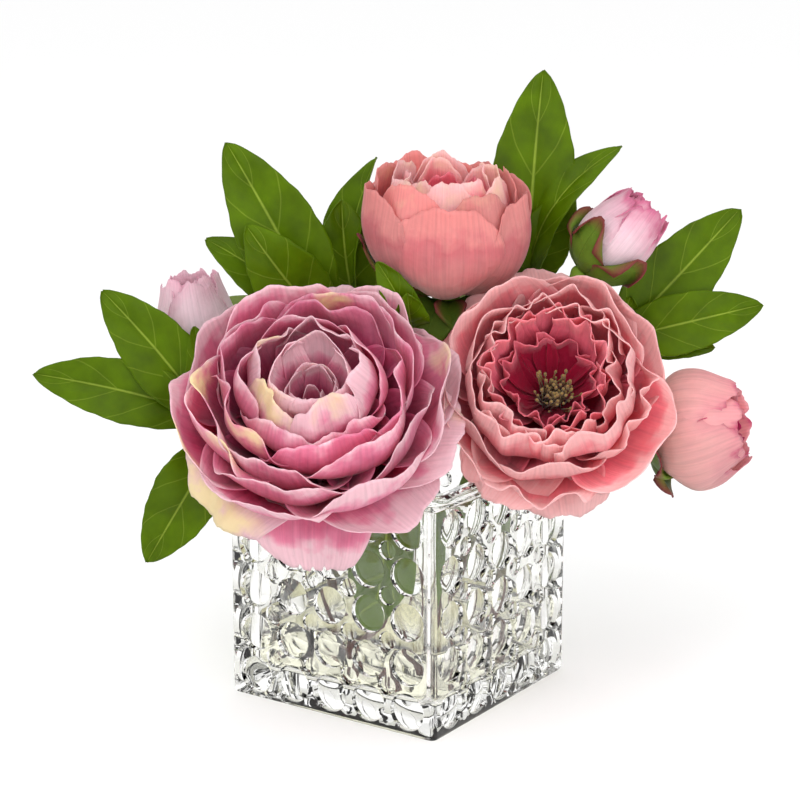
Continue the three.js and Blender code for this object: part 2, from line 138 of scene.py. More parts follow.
def petal_fabric(name, deep, body, rim, cream, spot):
    """Printed polyester satin, heat-pressed over a petal mould: dyed deep at the base and pale towards the
    rim, brushed with cream by hand, with fine pressed lines that run up the petal. Each petal's deep
    setting shifts the whole petal towards the deep colour, mostly in a bloom's inner rows: partly the dye,
    partly painted shade of the bloom's depths."""
    material, node = new_material(name)
    if node is None:
        return material
    uv = node("ShaderNodeUVMap", uv_map="Petal")
    tint = node("ShaderNodeAttribute", attribute_name="tint")
    place = node("ShaderNodeSeparateXYZ", {"Vector": uv})
    paint = node("ShaderNodeSeparateColor", {"Color": tint})
    objects = node("ShaderNodeTexCoord").outputs["Object"]
    # the dye creeps unevenly, in patches about 9 mm across
    cloud = node("ShaderNodeTexNoise", {"Vector": objects, "Scale": 1 / 0.009, "Detail": 3.0})
    drift = node("ShaderNodeMath", {0: cloud, 1: 0.4, 2: place.outputs["Y"]}, operation="MULTIPLY_ADD")
    # the tint's green shifts whole petals towards the deep colour, mostly in a bloom's inner rows: partly
    # the dye, partly painted shade of the bloom's depths
    dye_and_depth_shade = node("ShaderNodeMath", {0: paint.outputs["Green"], 1: -0.62, 2: drift}, operation="MULTIPLY_ADD")
    dyed = node("ShaderNodeValToRGB", {"Fac": dye_and_depth_shade}, stops=[
        (0.32, deep), (1.0, rim), (0.62, spot), (0.88, body),
    ])
    # pressed lines, about forty across a petal and wavering along it
    lines_at = node("ShaderNodeVectorMath", {0: uv, 1: (44.0, 2.2, 1.0)}, operation="MULTIPLY")
    lines = node("ShaderNodeTexNoise", {"Vector": lines_at, "Scale": 1.0, "Detail": 2.0, "Distortion": 0.4})
    shade = node("ShaderNodeMapRange", {
        "Value": lines, "From Min": 0.3, "From Max": 0.7, "To Min": 0.9, "To Max": 1.05,
    })
    tone = node("ShaderNodeMath", {0: paint.outputs["Blue"], 1: 0.3, 2: 0.85}, operation="MULTIPLY_ADD")
    both = node("ShaderNodeMath", {0: shade, 1: tone}, operation="MULTIPLY")
    lined = node(
        "ShaderNodeMix", {"Factor": 1.0, 6: dyed, 7: both}, data_type="RGBA", blend_type="MULTIPLY",
    )
    ragged = node("ShaderNodeMath", {0: cloud, 1: paint.outputs["Red"]}, operation="MULTIPLY")
    brushed = node("ShaderNodeMapRange", {
        "Value": ragged, "From Min": 0.22, "From Max": 0.5, "To Min": 0.0, "To Max": 0.92,
    })
    colour = node("ShaderNodeMix", {"Factor": brushed, 6: lined, 7: cream}, data_type="RGBA")
    # the weave is about 0.12 mm and is drawn at 0.5 mm, so that it shows
    weave = node("ShaderNodeTexNoise", {"Vector": objects, "Scale": 1 / 0.0005, "Detail": 1.0})
    crease = node("ShaderNodeTexNoise", {"Vector": objects, "Scale": 1 / 0.006, "Detail": 2.0})
    grain = node("ShaderNodeBump", {"Height": weave, "Strength": 0.12, "Distance": 0.0004})
    lines_bump = node("ShaderNodeBump", {
        "Height": lines, "Strength": 0.45, "Distance": 0.0006, "Normal": grain,
    })
    relief = node("ShaderNodeBump", {
        "Height": crease, "Strength": 0.4, "Distance": 0.002, "Normal": lines_bump,
    })
    satin = node("ShaderNodeBsdfPrincipled", {
        "Base Color": colour, "Normal": relief, "Roughness": 0.62, "IOR": 1.5, "Specular IOR Level": 0.3,
        "Sheen Weight": 0.25, "Sheen Roughness": 0.4,
    })
    glow = node("ShaderNodeBsdfTranslucent", {"Color": colour, "Normal": relief})
    thin = node("ShaderNodeMixShader", {0: 0.5, 1: satin, 2: glow})
    node("ShaderNodeOutputMaterial", {"Surface": thin})
    return material


def leaf_fabric(name, upper, lower, vein, edge, edge_from):
    """Polyester leaf cloth with a thin waxed coat, heat-pressed: a paler midrib and side veins stand
    out, the coat gives a soft gloss, and the colour is darker towards the stalk."""
    material, node = new_material(name)
    if node is None:
        return material
    uv = node("ShaderNodeUVMap", uv_map="Petal")
    place = node("ShaderNodeSeparateXYZ", {"Vector": uv})
    tint = node("ShaderNodeAttribute", attribute_name="tint")
    paint = node("ShaderNodeSeparateColor", {"Color": tint})
    objects = node("ShaderNodeTexCoord").outputs["Object"]
    across = node("ShaderNodeMapRange", {
        "Value": place.outputs["X"], "From Min": 0.0, "From Max": 1.0, "To Min": -1.0, "To Max": 1.0,
    })
    away = node("ShaderNodeMath", {0: across}, operation="ABSOLUTE")
    # side veins slant forwards from the midrib, eight along a blade
    slant = node(
        "ShaderNodeMath", {0: away, 1: -VEIN_SLANT, 2: place.outputs["Y"]}, operation="MULTIPLY_ADD",
    )
    along = node("ShaderNodeMath", {0: slant, 1: LEAF_VEINS * math.pi}, operation="MULTIPLY")
    wave = node("ShaderNodeMath", {0: along}, operation="COSINE")
    side = node("ShaderNodeMapRange", {
        "Value": wave, "From Min": 0.98, "From Max": 1.0, "To Min": 0.0, "To Max": 0.4,
    })
    mid = node("ShaderNodeMapRange", {
        "Value": away, "From Min": 0.015, "From Max": 0.045, "To Min": 1.0, "To Max": 0.0,
    })
    veins = node("ShaderNodeMath", {0: side, 1: mid}, operation="MAXIMUM")
    cloud = node("ShaderNodeTexNoise", {"Vector": objects, "Scale": 1 / 0.012, "Detail": 4.0})
    patch = node("ShaderNodeMapRange", {
        "Value": cloud, "From Min": 0.3, "From Max": 0.7, "To Min": 0.72, "To Max": 1.2,
    })
    shade = node("ShaderNodeMath", {0: paint.outputs["Blue"], 1: patch}, operation="MULTIPLY")
    top = node("ShaderNodeMix", {"Factor": veins, 6: upper, 7: vein}, data_type="RGBA")
    dyed = node("ShaderNodeMix", {"Factor": 1.0, 6: top, 7: shade}, data_type="RGBA", blend_type="MULTIPLY")
    under = node("ShaderNodeMix", {"Factor": paint.outputs["Red"], 6: dyed, 7: lower}, data_type="RGBA")
    outer = node("ShaderNodeMath", {0: away, 1: place.outputs["Y"]}, operation="MAXIMUM")
    rimmed = node("ShaderNodeMapRange", {
        "Value": outer, "From Min": edge_from, "From Max": 1.0, "To Min": 0.0, "To Max": 0.9,
    })
    colour = node("ShaderNodeMix", {"Factor": rimmed, 6: under, 7: edge}, data_type="RGBA")
    # the cloth's grain shows through the wax; it is drawn at 0.6 mm, so that it shows
    grain = node("ShaderNodeTexNoise", {"Vector": objects, "Scale": 1 / 0.0006, "Detail": 1.0})
    cloth = node("ShaderNodeBump", {"Height": grain, "Strength": 0.12, "Distance": 0.0004})
    pressed = node("ShaderNodeBump", {
        "Height": veins, "Strength": 0.5, "Distance": 0.0005, "Normal": cloth,
    })
    gloss = node("ShaderNodeMapRange", {
        "Value": cloud, "From Min": 0.3, "From Max": 0.7, "To Min": 0.4, "To Max": 0.55,
    })
    waxed = node("ShaderNodeBsdfPrincipled", {
        "Base Color": colour, "Normal": pressed, "Roughness": gloss, "IOR": 1.48, "Specular IOR Level": 0.1,
    })
    glow = node("ShaderNodeBsdfTranslucent", {"Color": colour, "Normal": pressed})
    thin = node("ShaderNodeMixShader", {0: 0.15, 1: waxed, 2: glow})
    node("ShaderNodeOutputMaterial", {"Surface": thin})
    return material


def stem_plastic(name, upper, foot):
    """Polyethylene sleeve extruded over wire: green, brushed maroon-brown towards the foot, with the
    dull gloss and small lumps of soft plastic."""
    material, node = new_material(name)
    if node is None:
        return material
    objects = node("ShaderNodeTexCoord").outputs["Object"]
    height = node("ShaderNodeSeparateXYZ", {"Vector": objects})
    cloud = node("ShaderNodeTexNoise", {"Vector": objects, "Scale": 1 / 0.006, "Detail": 3.0})
    wander = node("ShaderNodeMath", {0: cloud, 1: 0.03, 2: height.outputs["Z"]}, operation="MULTIPLY_ADD")
    share = node("ShaderNodeMapRange", {
        "Value": wander, "From Min": STEM_BROWN, "From Max": STEM_GREEN, "To Min": 0.0, "To Max": 1.0,
    })
    colour = node("ShaderNodeMix", {"Factor": share, 6: foot, 7: upper}, data_type="RGBA")
    lumps = node("ShaderNodeBump", {"Height": cloud, "Strength": 0.4, "Distance": 0.0006})
    sleeve = node("ShaderNodeBsdfPrincipled", {
        "Base Color": colour, "Normal": lumps, "Roughness": 0.48, "IOR": 1.5, "Specular IOR Level": 0.4,
    })
    node("ShaderNodeOutputMaterial", {"Surface": sleeve})
    return material


def clear_body(name, colour, ior):
    """A clear moulded body. Pressed soda-lime glass chills against the iron mould and keeps a faint
    ripple; poured epoxy resin sets smoother, with a slight yellow cast."""
    material, node = new_material(name)
    if node is None:
        return material
    objects = node("ShaderNodeTexCoord").outputs["Object"]
    chill = node("ShaderNodeTexNoise", {"Vector": objects, "Scale": 1 / 0.014, "Detail": 1.0})
    wave = node("ShaderNodeBump", {"Height": chill, "Strength": RIPPLE, "Distance": 0.001})
    clear = node("ShaderNodeBsdfPrincipled", {
        "Base Color": colour, "Normal": wave, "Roughness": 0.0, "IOR": ior, "Transmission Weight": 1.0,
    })
    # shadow rays and deep paths go straight on, so that a clear body isn't dark inside or below
    path = node("ShaderNodeLightPath")
    through_light = node("ShaderNodeBsdfTransparent", {"Color": colour})
    deep = node(
        "ShaderNodeMath", {0: path.outputs["Transmission Depth"], 1: CLEAR_DEPTH}, operation="GREATER_THAN",
    )
    either = node("ShaderNodeMath", {0: path.outputs["Is Shadow Ray"], 1: deep}, operation="MAXIMUM")
    passed = node("ShaderNodeMixShader", {0: either, 1: clear, 2: through_light})
    node("ShaderNodeOutputMaterial", {"Surface": passed})
    return material


def stamen_fibre(name, stalk, tip):
    """Dyed nylon thread with a dab of glued flock on the end: matt, and darker at the tip."""
    material, node = new_material(name)
    if node is None:
        return material
    objects = node("ShaderNodeTexCoord").outputs["Object"]
    fleck = node("ShaderNodeTexNoise", {"Vector": objects, "Scale": 1 / 0.0015, "Detail": 2.0})
    colour = node("ShaderNodeMix", {"Factor": fleck, 6: stalk, 7: tip}, data_type="RGBA")
    flock = node("ShaderNodeBump", {"Height": fleck, "Strength": 0.6, "Distance": 0.0004})
    thread = node("ShaderNodeBsdfPrincipled", {
        "Base Color": colour, "Normal": flock, "Roughness": 0.85, "Sheen Weight": 0.2,
    })
    node("ShaderNodeOutputMaterial", {"Surface": thread})
    return material


# ---- Lines and meshes ----
def through(points, count=160):
    """A smooth line through the points: a centripetal Catmull-Rom curve, evenly sampled."""
    p = [np.array(q, float) for q in points]
    p = [2 * p[0] - p[1], *p, 2 * p[-1] - p[-2]]
    dense = []
    for i in range(1, len(p) - 2):
        knots = [0.0]
        for a, b in zip(p[i - 1 : i + 2], p[i : i + 3]):
            knots.append(knots[-1] + max(np.linalg.norm(b - a), 1e-6) ** 0.5)
        k0, k1, k2, k3 = knots
        for k in np.linspace(k1, k2, 40, endpoint=False):
            a1 = ((k1 - k) * p[i - 1] + (k - k0) * p[i]) / (k1 - k0)
            a2 = ((k2 - k) * p[i] + (k - k1) * p[i + 1]) / (k2 - k1)
            a3 = ((k3 - k) * p[i + 1] + (k - k2) * p[i + 2]) / (k3 - k2)
            b1 = ((k2 - k) * a1 + (k - k0) * a2) / (k2 - k0)
            b2 = ((k3 - k) * a2 + (k - k1) * a3) / (k3 - k1)
            dense.append(((k2 - k) * b1 + (k - k1) * b2) / (k2 - k1))
    dense = np.array([*dense, p[-2]])
    length = np.r_[0, np.cumsum(np.linalg.norm(np.diff(dense, axis=0), axis=1))]
    even = np.linspace(0, length[-1], count)
    return np.stack([np.interp(even, length, dense[:, k]) for k in range(dense.shape[1])], 1)


class Shape:
    """Collects vertices, faces, and each vertex's place on its petal and paint."""

    def __init__(self):
        self.points, self.faces, self.places, self.paints, self.count = [], [], [], [], 0

    def take(self, points, faces, places=None, paints=None):
        points = np.asarray(points, float).reshape(-1, 3)
        self.faces += [tuple(int(i) + self.count for i in face) for face in faces]
        self.points.append(points)
        self.places.append(np.full((len(points), 2), 0.5) if places is None else places)
        self.paints.append(np.tile([0.0, 0.0, 1.0], (len(points), 1)) if paints is None else paints)
        self.count += len(points)

    def piece(self, name, material, turned=None, sharp=None):
        """The collected shape as one object in the shared frame, at the origin."""
        points = np.vstack(self.points)
        if turned is not None:
            points = points @ turned[0].T + turned[1]
        mesh = bpy.data.meshes.new(name)
        mesh.from_pydata((points * MM).tolist(), [], self.faces)
        mesh.polygons.foreach_set("use_smooth", [True] * len(mesh.polygons))
        corners = np.zeros(len(mesh.loops), int)
        mesh.loops.foreach_get("vertex_index", corners)
        layer = mesh.uv_layers.new(name="Petal")
        layer.data.foreach_set("uv", np.vstack(self.places)[corners].astype(np.float32).ravel())
        paint = mesh.attributes.new("tint", "FLOAT_COLOR", "POINT")
        rgba = np.c_[np.vstack(self.paints), np.ones(len(points))]
        paint.data.foreach_set("color", rgba.astype(np.float32).ravel())
        if sharp is not None:
            mesh.set_sharp_from_angle(angle=sharp)
        mesh.materials.append(material)
        mesh.update()
        made = bpy.data.objects.new(name, mesh)
        bpy.context.scene.collection.objects.link(made)
        return made


def put(piece, slot, *nodes):
    """The piece rides on the body and stands for its CAD nodes, which it hides; the slot is not used."""
    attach(piece, "root")
    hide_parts(*nodes)
    return piece


def shell(grid, thickness):
    """A grid of points as a closed sheet: (points, faces), facing outwards."""
    rows, columns = grid.shape[:2]
    normal = np.cross(np.gradient(grid, axis=0), np.gradient(grid, axis=1))
    normal /= np.maximum(np.linalg.norm(normal, axis=2, keepdims=True), 1e-9)
    points = np.vstack([grid.reshape(-1, 3), (grid + normal * thickness).reshape(-1, 3)])
    index = np.arange(rows * columns).reshape(rows, columns)
    far = rows * columns
    a, b, c, d = index[:-1, :-1], index[1:, :-1], index[1:, 1:], index[:-1, 1:]
    near_side = np.stack([a, d, c, b], -1).reshape(-1, 4)
    far_side = np.stack([a, b, c, d], -1).reshape(-1, 4) + far
    edge = np.r_[index[0, :], index[1:, -1], index[-1, -2::-1], index[-2:0:-1, 0]]
    after = np.roll(edge, -1)
    rim = np.stack([edge, edge + far, after + far, after], -1)
    faces = np.vstack([near_side, far_side, rim])
    corners = points[faces]
    a, b, c, d = (corners[:, k] for k in range(4))
    volume = np.einsum("ij,ij->i", a, np.cross(b, c)).sum() + np.einsum("ij,ij->i", a, np.cross(c, d)).sum()
    return points, faces if volume > 0 else faces[:, ::-1]


def quads(rows, count, closed=True):
    """Faces between rows of points, all the way round each row or from its first point to its last."""
    return [
        (a * count + i, a * count + (i + 1) % count, (a + 1) * count + (i + 1) % count, (a + 1) * count + i)
        for a in range(rows - 1)
        for i in range(count if closed else count - 1)
    ]


def closed_body(rows, count):
    """Faces round the rows, with a fan at each end to one of the two points that follow them."""
    foot, top, last = rows * count, rows * count + 1, (rows - 1) * count
    fans = []
    for i in range(count):
        n = (i + 1) % count
        fans += [(foot, n, i), (top, last + i, last + n)]
    return quads(rows, count) + fans


def smooth_step(value, low, high):
    """0 below low, 1 above high, and a smooth rise between."""
    share = np.clip((value - low) / (high - low), 0, 1)
    return share * share * (3 - 2 * share)


PETAL = {
    "wrap": 1.12,  # 1 follows the ring it stands in, and less is flatter across
    "ruffle": 1.0, "waves": 1.4, "curl": 0.0, "warp": 1.5,
    "rounding": 0.16, "notch": 0.0, "slits": 0, "jag": 0.009,
    "base": 0.26, "tip": 0.78, "cream": 0.0, "cream_at": 0.0, "cream_wide": 0.8,
    # deep darkens the whole petal: partly the dye, partly painted shade for petals deep in a bloom
    "deep": 0.0, "across": 30, "along": 22,
    "lean": (0.0, 0.0),  # how far the petal moves aside as it rises
}


PETAL_STEPS = 120  # samples of a petal's line
WIDEST = 0.62  # share of a petal's length at which it is widest


def petal(shape, rng, turn, line, width, thickness, **changes):
    """One petal in its head's frame: a sheet that follows the line (radius, height) from its base to
    its tip, bent round the axis, with waves that grow towards the rim."""
    p = {**PETAL, **changes}
    u = np.linspace(-1, 1, p["across"])[None, :]
    t = (np.linspace(0, 1, p["along"]) ** 0.82)[:, None]
    phase = [rng.uniform(0, 2 * math.pi) for _ in range(7)]
    jag = np.sin(9 * u + phase[0]) + 0.6 * np.sin(19 * u + phase[1]) + 0.4 * np.sin(37 * u + phase[2])
    reach = 1 - p["rounding"] * np.abs(u) ** 2.6 + p["jag"] * jag
    reach = reach - p["notch"] * np.exp(-(((u - rng.uniform(-0.3, 0.3)) / 0.13) ** 2))
    for k in range(p["slits"]):
        at = -0.35 + 0.7 * (k + 0.5) / p["slits"]
        reach = reach - 0.06 * np.exp(-(((u - at) / 0.02) ** 2))
    share = t * reach
    track = through(line, PETAL_STEPS)
    slope = np.gradient(track, axis=0)
    slope /= np.linalg.norm(slope, axis=1, keepdims=True)
    steps = np.linspace(0, 1, PETAL_STEPS)
    inner = np.clip(share, 0, 1)
    r, z, dr, dz = (
        np.interp(inner, steps, column) for column in (track[:, 0], track[:, 1], slope[:, 0], slope[:, 1])
    )
    span = np.hypot(*(np.diff(track, axis=0).T)).sum()
    past = np.clip(share - 1, 0, 1) * span
    r, z = r + dr * past, z + dz * past
    swell = p["base"] + (1 - p["base"]) * np.sin(math.pi / 2 * np.clip(t / WIDEST, 0, 1))
    taper = 1 - (1 - p["tip"]) * np.clip((t - WIDEST) / (1 - WIDEST), 0, 1) ** 2
    s = u * width / 2 * swell * taper
    bend = p["wrap"] / np.maximum(r, 4)
    angle = np.clip(bend * s, -2.7, 2.7)
    sideways = np.sin(angle) / bend
    inward = (1 - np.cos(angle)) / bend
    margin = np.maximum(t**3, 0.75 * np.abs(u) ** 5 * t)
    ripple = np.sin(math.pi * p["waves"] * u + phase[3]) + 0.3 * np.sin(
        2.3 * math.pi * p["waves"] * u + 3 * t + phase[4]
    )
    off = p["ruffle"] * margin * ripple
    off = off + p["warp"] * t * np.sin(math.pi * (0.9 * u + 0.8 * t) + phase[5])
    off = off + 0.6 * p["warp"] * t**2 * np.sin(math.pi * (1.7 * u - 1.3 * t) + phase[6])
    off = off + p["curl"] * np.clip((t - 0.72) / 0.28, 0, 1) ** 2
    r, z = r - dz * (inward - off), z + dr * (inward - off)
    around = math.radians(turn)
    grid = np.stack(
        [
            r * math.cos(around) - sideways * math.sin(around),
            r * math.sin(around) + sideways * math.cos(around),
            z,
        ],
        -1,
    )
    grid[..., 0] += p["lean"][0] * grid[..., 2]
    grid[..., 1] += p["lean"][1] * grid[..., 2]
    points, faces = shell(grid, thickness)
    places = np.stack(np.broadcast_arrays((u + 1) / 2, t), -1).reshape(-1, 2)
    brushed = p["cream"] * smooth_step(t, 0.6, 0.95) * np.exp(
        -(((u - p["cream_at"]) / p["cream_wide"]) ** 2)
    )
    layers = (brushed, p["deep"], rng.uniform(0.2, 0.8))
    paints = np.stack([np.broadcast_to(x, grid.shape[:2]) for x in layers], -1).reshape(-1, 3)
    shape.take(points, faces, np.vstack([places, places]), np.vstack([paints, paints]))


def ring(shape, seed, count, line, width, thickness, start=0.0, loose=7.0, stray=1.6, each=None, **common):
    """A ring of petals on one line, each a little different. each maps a petal's number to changes."""
    rng = random.Random(seed)
    for i in range(count):
        grow = 1 + rng.uniform(-0.035, 0.035)
        lift = rng.uniform(-stray, stray)
        own = [(r * grow, z + lift * min(r / 20, 1)) for r, z in line]
        changes = {
            "line": own, "width": width * rng.uniform(0.93, 1.08), **common, **(each or {}).get(i, {}),
        }
        turn = changes.pop("turn", start + 360 * i / count + rng.uniform(-loose, loose))
        changes.setdefault("thickness", thickness)
        petal(shape, rng, turn, **changes)


def lathe(shape, line, sides, steps=24):
    """A closed body turned about the head's axis from (radius, height) points."""
    track = through(line, steps)
    around = np.linspace(0, 2 * math.pi, sides, endpoint=False)
    rings = np.stack(
        [
            track[:, :1] * np.cos(around)[None, :],
            track[:, :1] * np.sin(around)[None, :],
            np.repeat(track[:, 1:], sides, axis=1),
        ],
        -1,
    ).reshape(-1, 3)
    ends = np.array([[0, 0, track[0, 1]], [0, 0, track[-1, 1]]])
    shape.take(np.vstack([rings, ends]), closed_body(steps, sides))


def tube(shape, track, radius, sides=14, lumps=0.0, seed=1, uneven=None):
    """A closed round tube along the track, with a slight unevenness."""
    track = np.asarray(track, float)
    count = len(track)
    ahead = np.gradient(track, axis=0)
    ahead /= np.linalg.norm(ahead, axis=1, keepdims=True)
    side = np.cross(ahead[0], [0.3, 0.1, 1.0])
    around = np.linspace(0, 2 * math.pi, sides, endpoint=False)
    rng = random.Random(seed)
    phases = [rng.uniform(0, 2 * math.pi) for _ in range(3)]
    rings = []
    for k in range(count):
        side = side - ahead[k] * side.dot(ahead[k])
        side /= np.linalg.norm(side)
        up = np.cross(ahead[k], side)
        wave = math.sin(k * 0.55 + phases[0]) + 0.6 * math.sin(k * 1.3 + phases[1])
        thick = radius * (1 + lumps * wave) * (uneven(k / (count - 1)) if uneven else 1)
        rings.append(track[k] + thick * (np.outer(np.cos(around), side) + np.outer(np.sin(around), up)))
    shape.take(np.vstack([*rings, track[:1], track[-1:]]), closed_body(count, sides))


# ---- The bouquet's places ----
def above(x, y, z):
    """A point of the bouquet, its height given from the vase's shoulder."""
    return np.array([x, y, SHOULDER + z], float)


def in_vase(x, y, z):
    """A point inside the vase, x and y as shares of the mouth's half width."""
    return np.array([x * MOUTH, y * MOUTH, z], float)


TURN = np.array(
    [
        [math.cos(BOUQUET_TURN), -math.sin(BOUQUET_TURN), 0],
        [math.sin(BOUQUET_TURN), math.cos(BOUQUET_TURN), 0],
        [0, 0, 1],
    ]
)
BOUQUET = (TURN, np.zeros(3))


class Head:
    """A flower's place: its receptacle, and the way it faces."""

    def __init__(self, at, turn, rise):
        a, e = math.radians(turn), math.radians(rise)
        self.at = above(*at)
        self.axis = np.array([math.sin(a) * math.cos(e), -math.cos(a) * math.cos(e), math.sin(e)])
        side = np.array([math.cos(a), math.sin(a), 0])
        self.basis = np.stack([side, np.cross(self.axis, side), self.axis], 1)
        self.placed = (TURN @ self.basis, TURN @ self.at)
        self.foot = self.at - self.axis * (SOCKET_LENGTH + GAP)

    def stem(self, *points):
        """The stem's line, from under the socket through the points."""
        return through([self.foot, self.foot - 6 * self.axis, *points], 200)


HEADS = {
    "mauve": Head((-32, -39, 14), -4, 48),
    "coral_open": Head((61, -13, 23), 2, 29),
    "coral_cup": Head((19, 4, 67), 0, 82),
    "upper_bud": Head((76, 5, 76), 90, 48),
    "right_bud": Head((104, 5, 5), 76, 14),
    "left_bud": Head((-82, 20, 27), -90, 82),
}
STEMS = {
    "mauve": HEADS["mauve"].stem(
        in_vase(-0.58, -0.36, NECK_Z), in_vase(-0.4, -0.08, MID_Z), in_vase(-0.18, 0.13, FOOT_Z),
    ),
    "coral_open": HEADS["coral_open"].stem(
        above(54, 9, 7), in_vase(1, 0.2, NECK_Z), in_vase(0.9, 0, MID_Z), in_vase(0.76, -0.22, FOOT_Z),
    ),
    "coral_cup": HEADS["coral_cup"].stem(
        above(18, 0, 30), in_vase(0.2, -0.22, NECK_Z), in_vase(0, -0.5, MID_Z),
        in_vase(-0.3, -0.54, FOOT_Z),
    ),
    "upper_bud": HEADS["upper_bud"].stem(
        above(48, 14, 18), in_vase(0.72, 0.36, NECK_Z), in_vase(0.42, 0.36, MID_Z),
        in_vase(0.2, 0.36, FOOT_Z),
    ),
    "right_bud": HEADS["right_bud"].stem(
        above(64, 12, 8), in_vase(0.98, 0.44, NECK_Z), in_vase(0.6, 0.5, MID_Z),
        in_vase(0.36, 0.56, FOOT_Z),
    ),
    "left_bud": HEADS["left_bud"].stem(
        above(-64, 9, 10), in_vase(-0.9, 0.08, NECK_Z), in_vase(-0.66, 0.1, MID_Z),
        in_vase(-0.5, 0.13, FOOT_Z),
    ),
}
FRONT = (0, -1, 0.3)
# name: (stem, share along it, points on the way, node, way it faces, leaflets of (tip, width, changes))
LEAVES = {
    "leaf_left": ("left_bud", 0.22, [], above(-80, -2, 18), FRONT, [
        (above(-152, 5, 33), 23, {}), (above(-123, 10, 67), 25, {}), (above(-84, -4, 55), 12, {}),
    ]),
    "leaf_lower_left": ("left_bud", 0.3, [above(-62, -6, 9)], above(-74, -20, 10), FRONT, [
        (above(-103, -32, -37), 24, {"arch": 0.12}),
    ]),
    "leaf_upper_left": ("coral_cup", 0.3, [above(-16, 12, 25)], above(-32, 10, 54), FRONT, [
        (above(-71, 14, 128), 31, {}), (above(-80, 14, 88), 21, {"face": (0, -1, 0.6)}),
        (above(-62, -6, 97), 26, {}),
    ]),
    "leaf_centre": ("coral_cup", 0.2, [above(-6, 16, 40)], above(-19, 23, 57), FRONT, [
        (above(-10, 27, 120), 22, {"face": (-0.8, -0.6, 0), "fold": 0.5}), (above(-24, 14, 104), 24, {}),
    ]),
    "leaf_small_front": ("coral_cup", 0.1, [], above(5, -18, 57), FRONT, [
        (above(-9, -26, 86), 12, {}), (above(3, -32, 74), 13, {}),
    ]),
    "leaf_top": ("upper_bud", 0.2, [], above(54, 36, 66), FRONT, [
        (above(60, 45, 154), 32, {}), (above(92, 32, 124), 19, {"arch": 0.2, "face": (0, -0.5, 1)}),
        (above(72, 30, 106), 20, {}),
    ]),
    "leaf_right": ("upper_bud", 0.34, [above(70, 16, 26)], above(91, 17, 45), FRONT, [
        (above(142, 29, 98), 27, {"arch": 0.04}), (above(151, 16, 60), 22, {}),
        (above(131, 12, 42), 13, {"arch": 0.04}), (above(96, 17, 63), 12, {"arch": 0.0}),
    ]),
    "leaf_in_vase": ("coral_cup", 0.52, [], above(-2, -30, -6), FRONT, [
        (np.array([-10, -36, WATER_TOP + 4]), 26, {"arch": 0.02}),
    ]),
    "leaf_back_left": ("left_bud", 0.34, [above(-44, 26, 10)], above(-38, 44, 20), (0, 1, 0.7), [
        (above(-78, 76, 50), 24, {}), (above(-46, 96, 28), 27, {}), (above(-14, 84, 50), 22, {}),
    ]),
    "leaf_back_right": ("upper_bud", 0.42, [above(42, 34, 16)], above(42, 46, 28), (0, 1, 0.7), [
        (above(84, 74, 60), 24, {}), (above(52, 96, 36), 27, {}), (above(18, 78, 66), 22, {}),
    ]),
}


# ---- Settings ----
def length(name, description, millimetres):
    return bpy.props.FloatProperty(
        name=name, description=description, default=millimetres * MM, min=0.0, subtype="DISTANCE",
        unit="LENGTH",
    )


def colour(name, description, code):
    return bpy.props.FloatVectorProperty(
        name=name, description=description, default=linear(code), size=4, subtype="COLOR", min=0.0, max=1.0,
    )


def number(name, description, value):
    return bpy.props.FloatProperty(name=name, description=description, default=value)


def angle(name, description, degrees):
    return bpy.props.FloatProperty(
        name=name, description=description, default=math.radians(degrees), subtype="ANGLE", unit="ROTATION",
    )


class PEONY_PG_vase(bpy.types.PropertyGroup):
    """The bubble-glass vase and the set water in it."""

    bubble: length("Bubble", "Diameter of the large bubbles", 15.9)
    small_bubble: length("Small bubble", "Diameter of the bubbles between the large ones", 8.0)
    pitch: length("Pitch", "Distance between large bubbles", 18.9)
    sink: length("Sink", "Depth of the groove round a bubble", 1.9)
    groove: length("Groove", "Width of the groove's outer wall", 0.45)
    floor: length("Floor", "Thickness of the vase's floor", 11.0)
    edge: length("Edge radius", "Radius of the vase's upright edges", 2.5)
    inner: length("Inner radius", "Radius of the corners of the hollow", 8.0)
    rim: length("Rim", "Height of the bead round the mouth", 4.5)
    rim_corner: length("Rim corner", "Radius of the bead's corners", 13.0)
    glass: colour("Glass", "Tint of the soda-lime glass", "#FDFDFB")
    resin: colour("Resin", "Tint of the set water", "#FAF9E6")


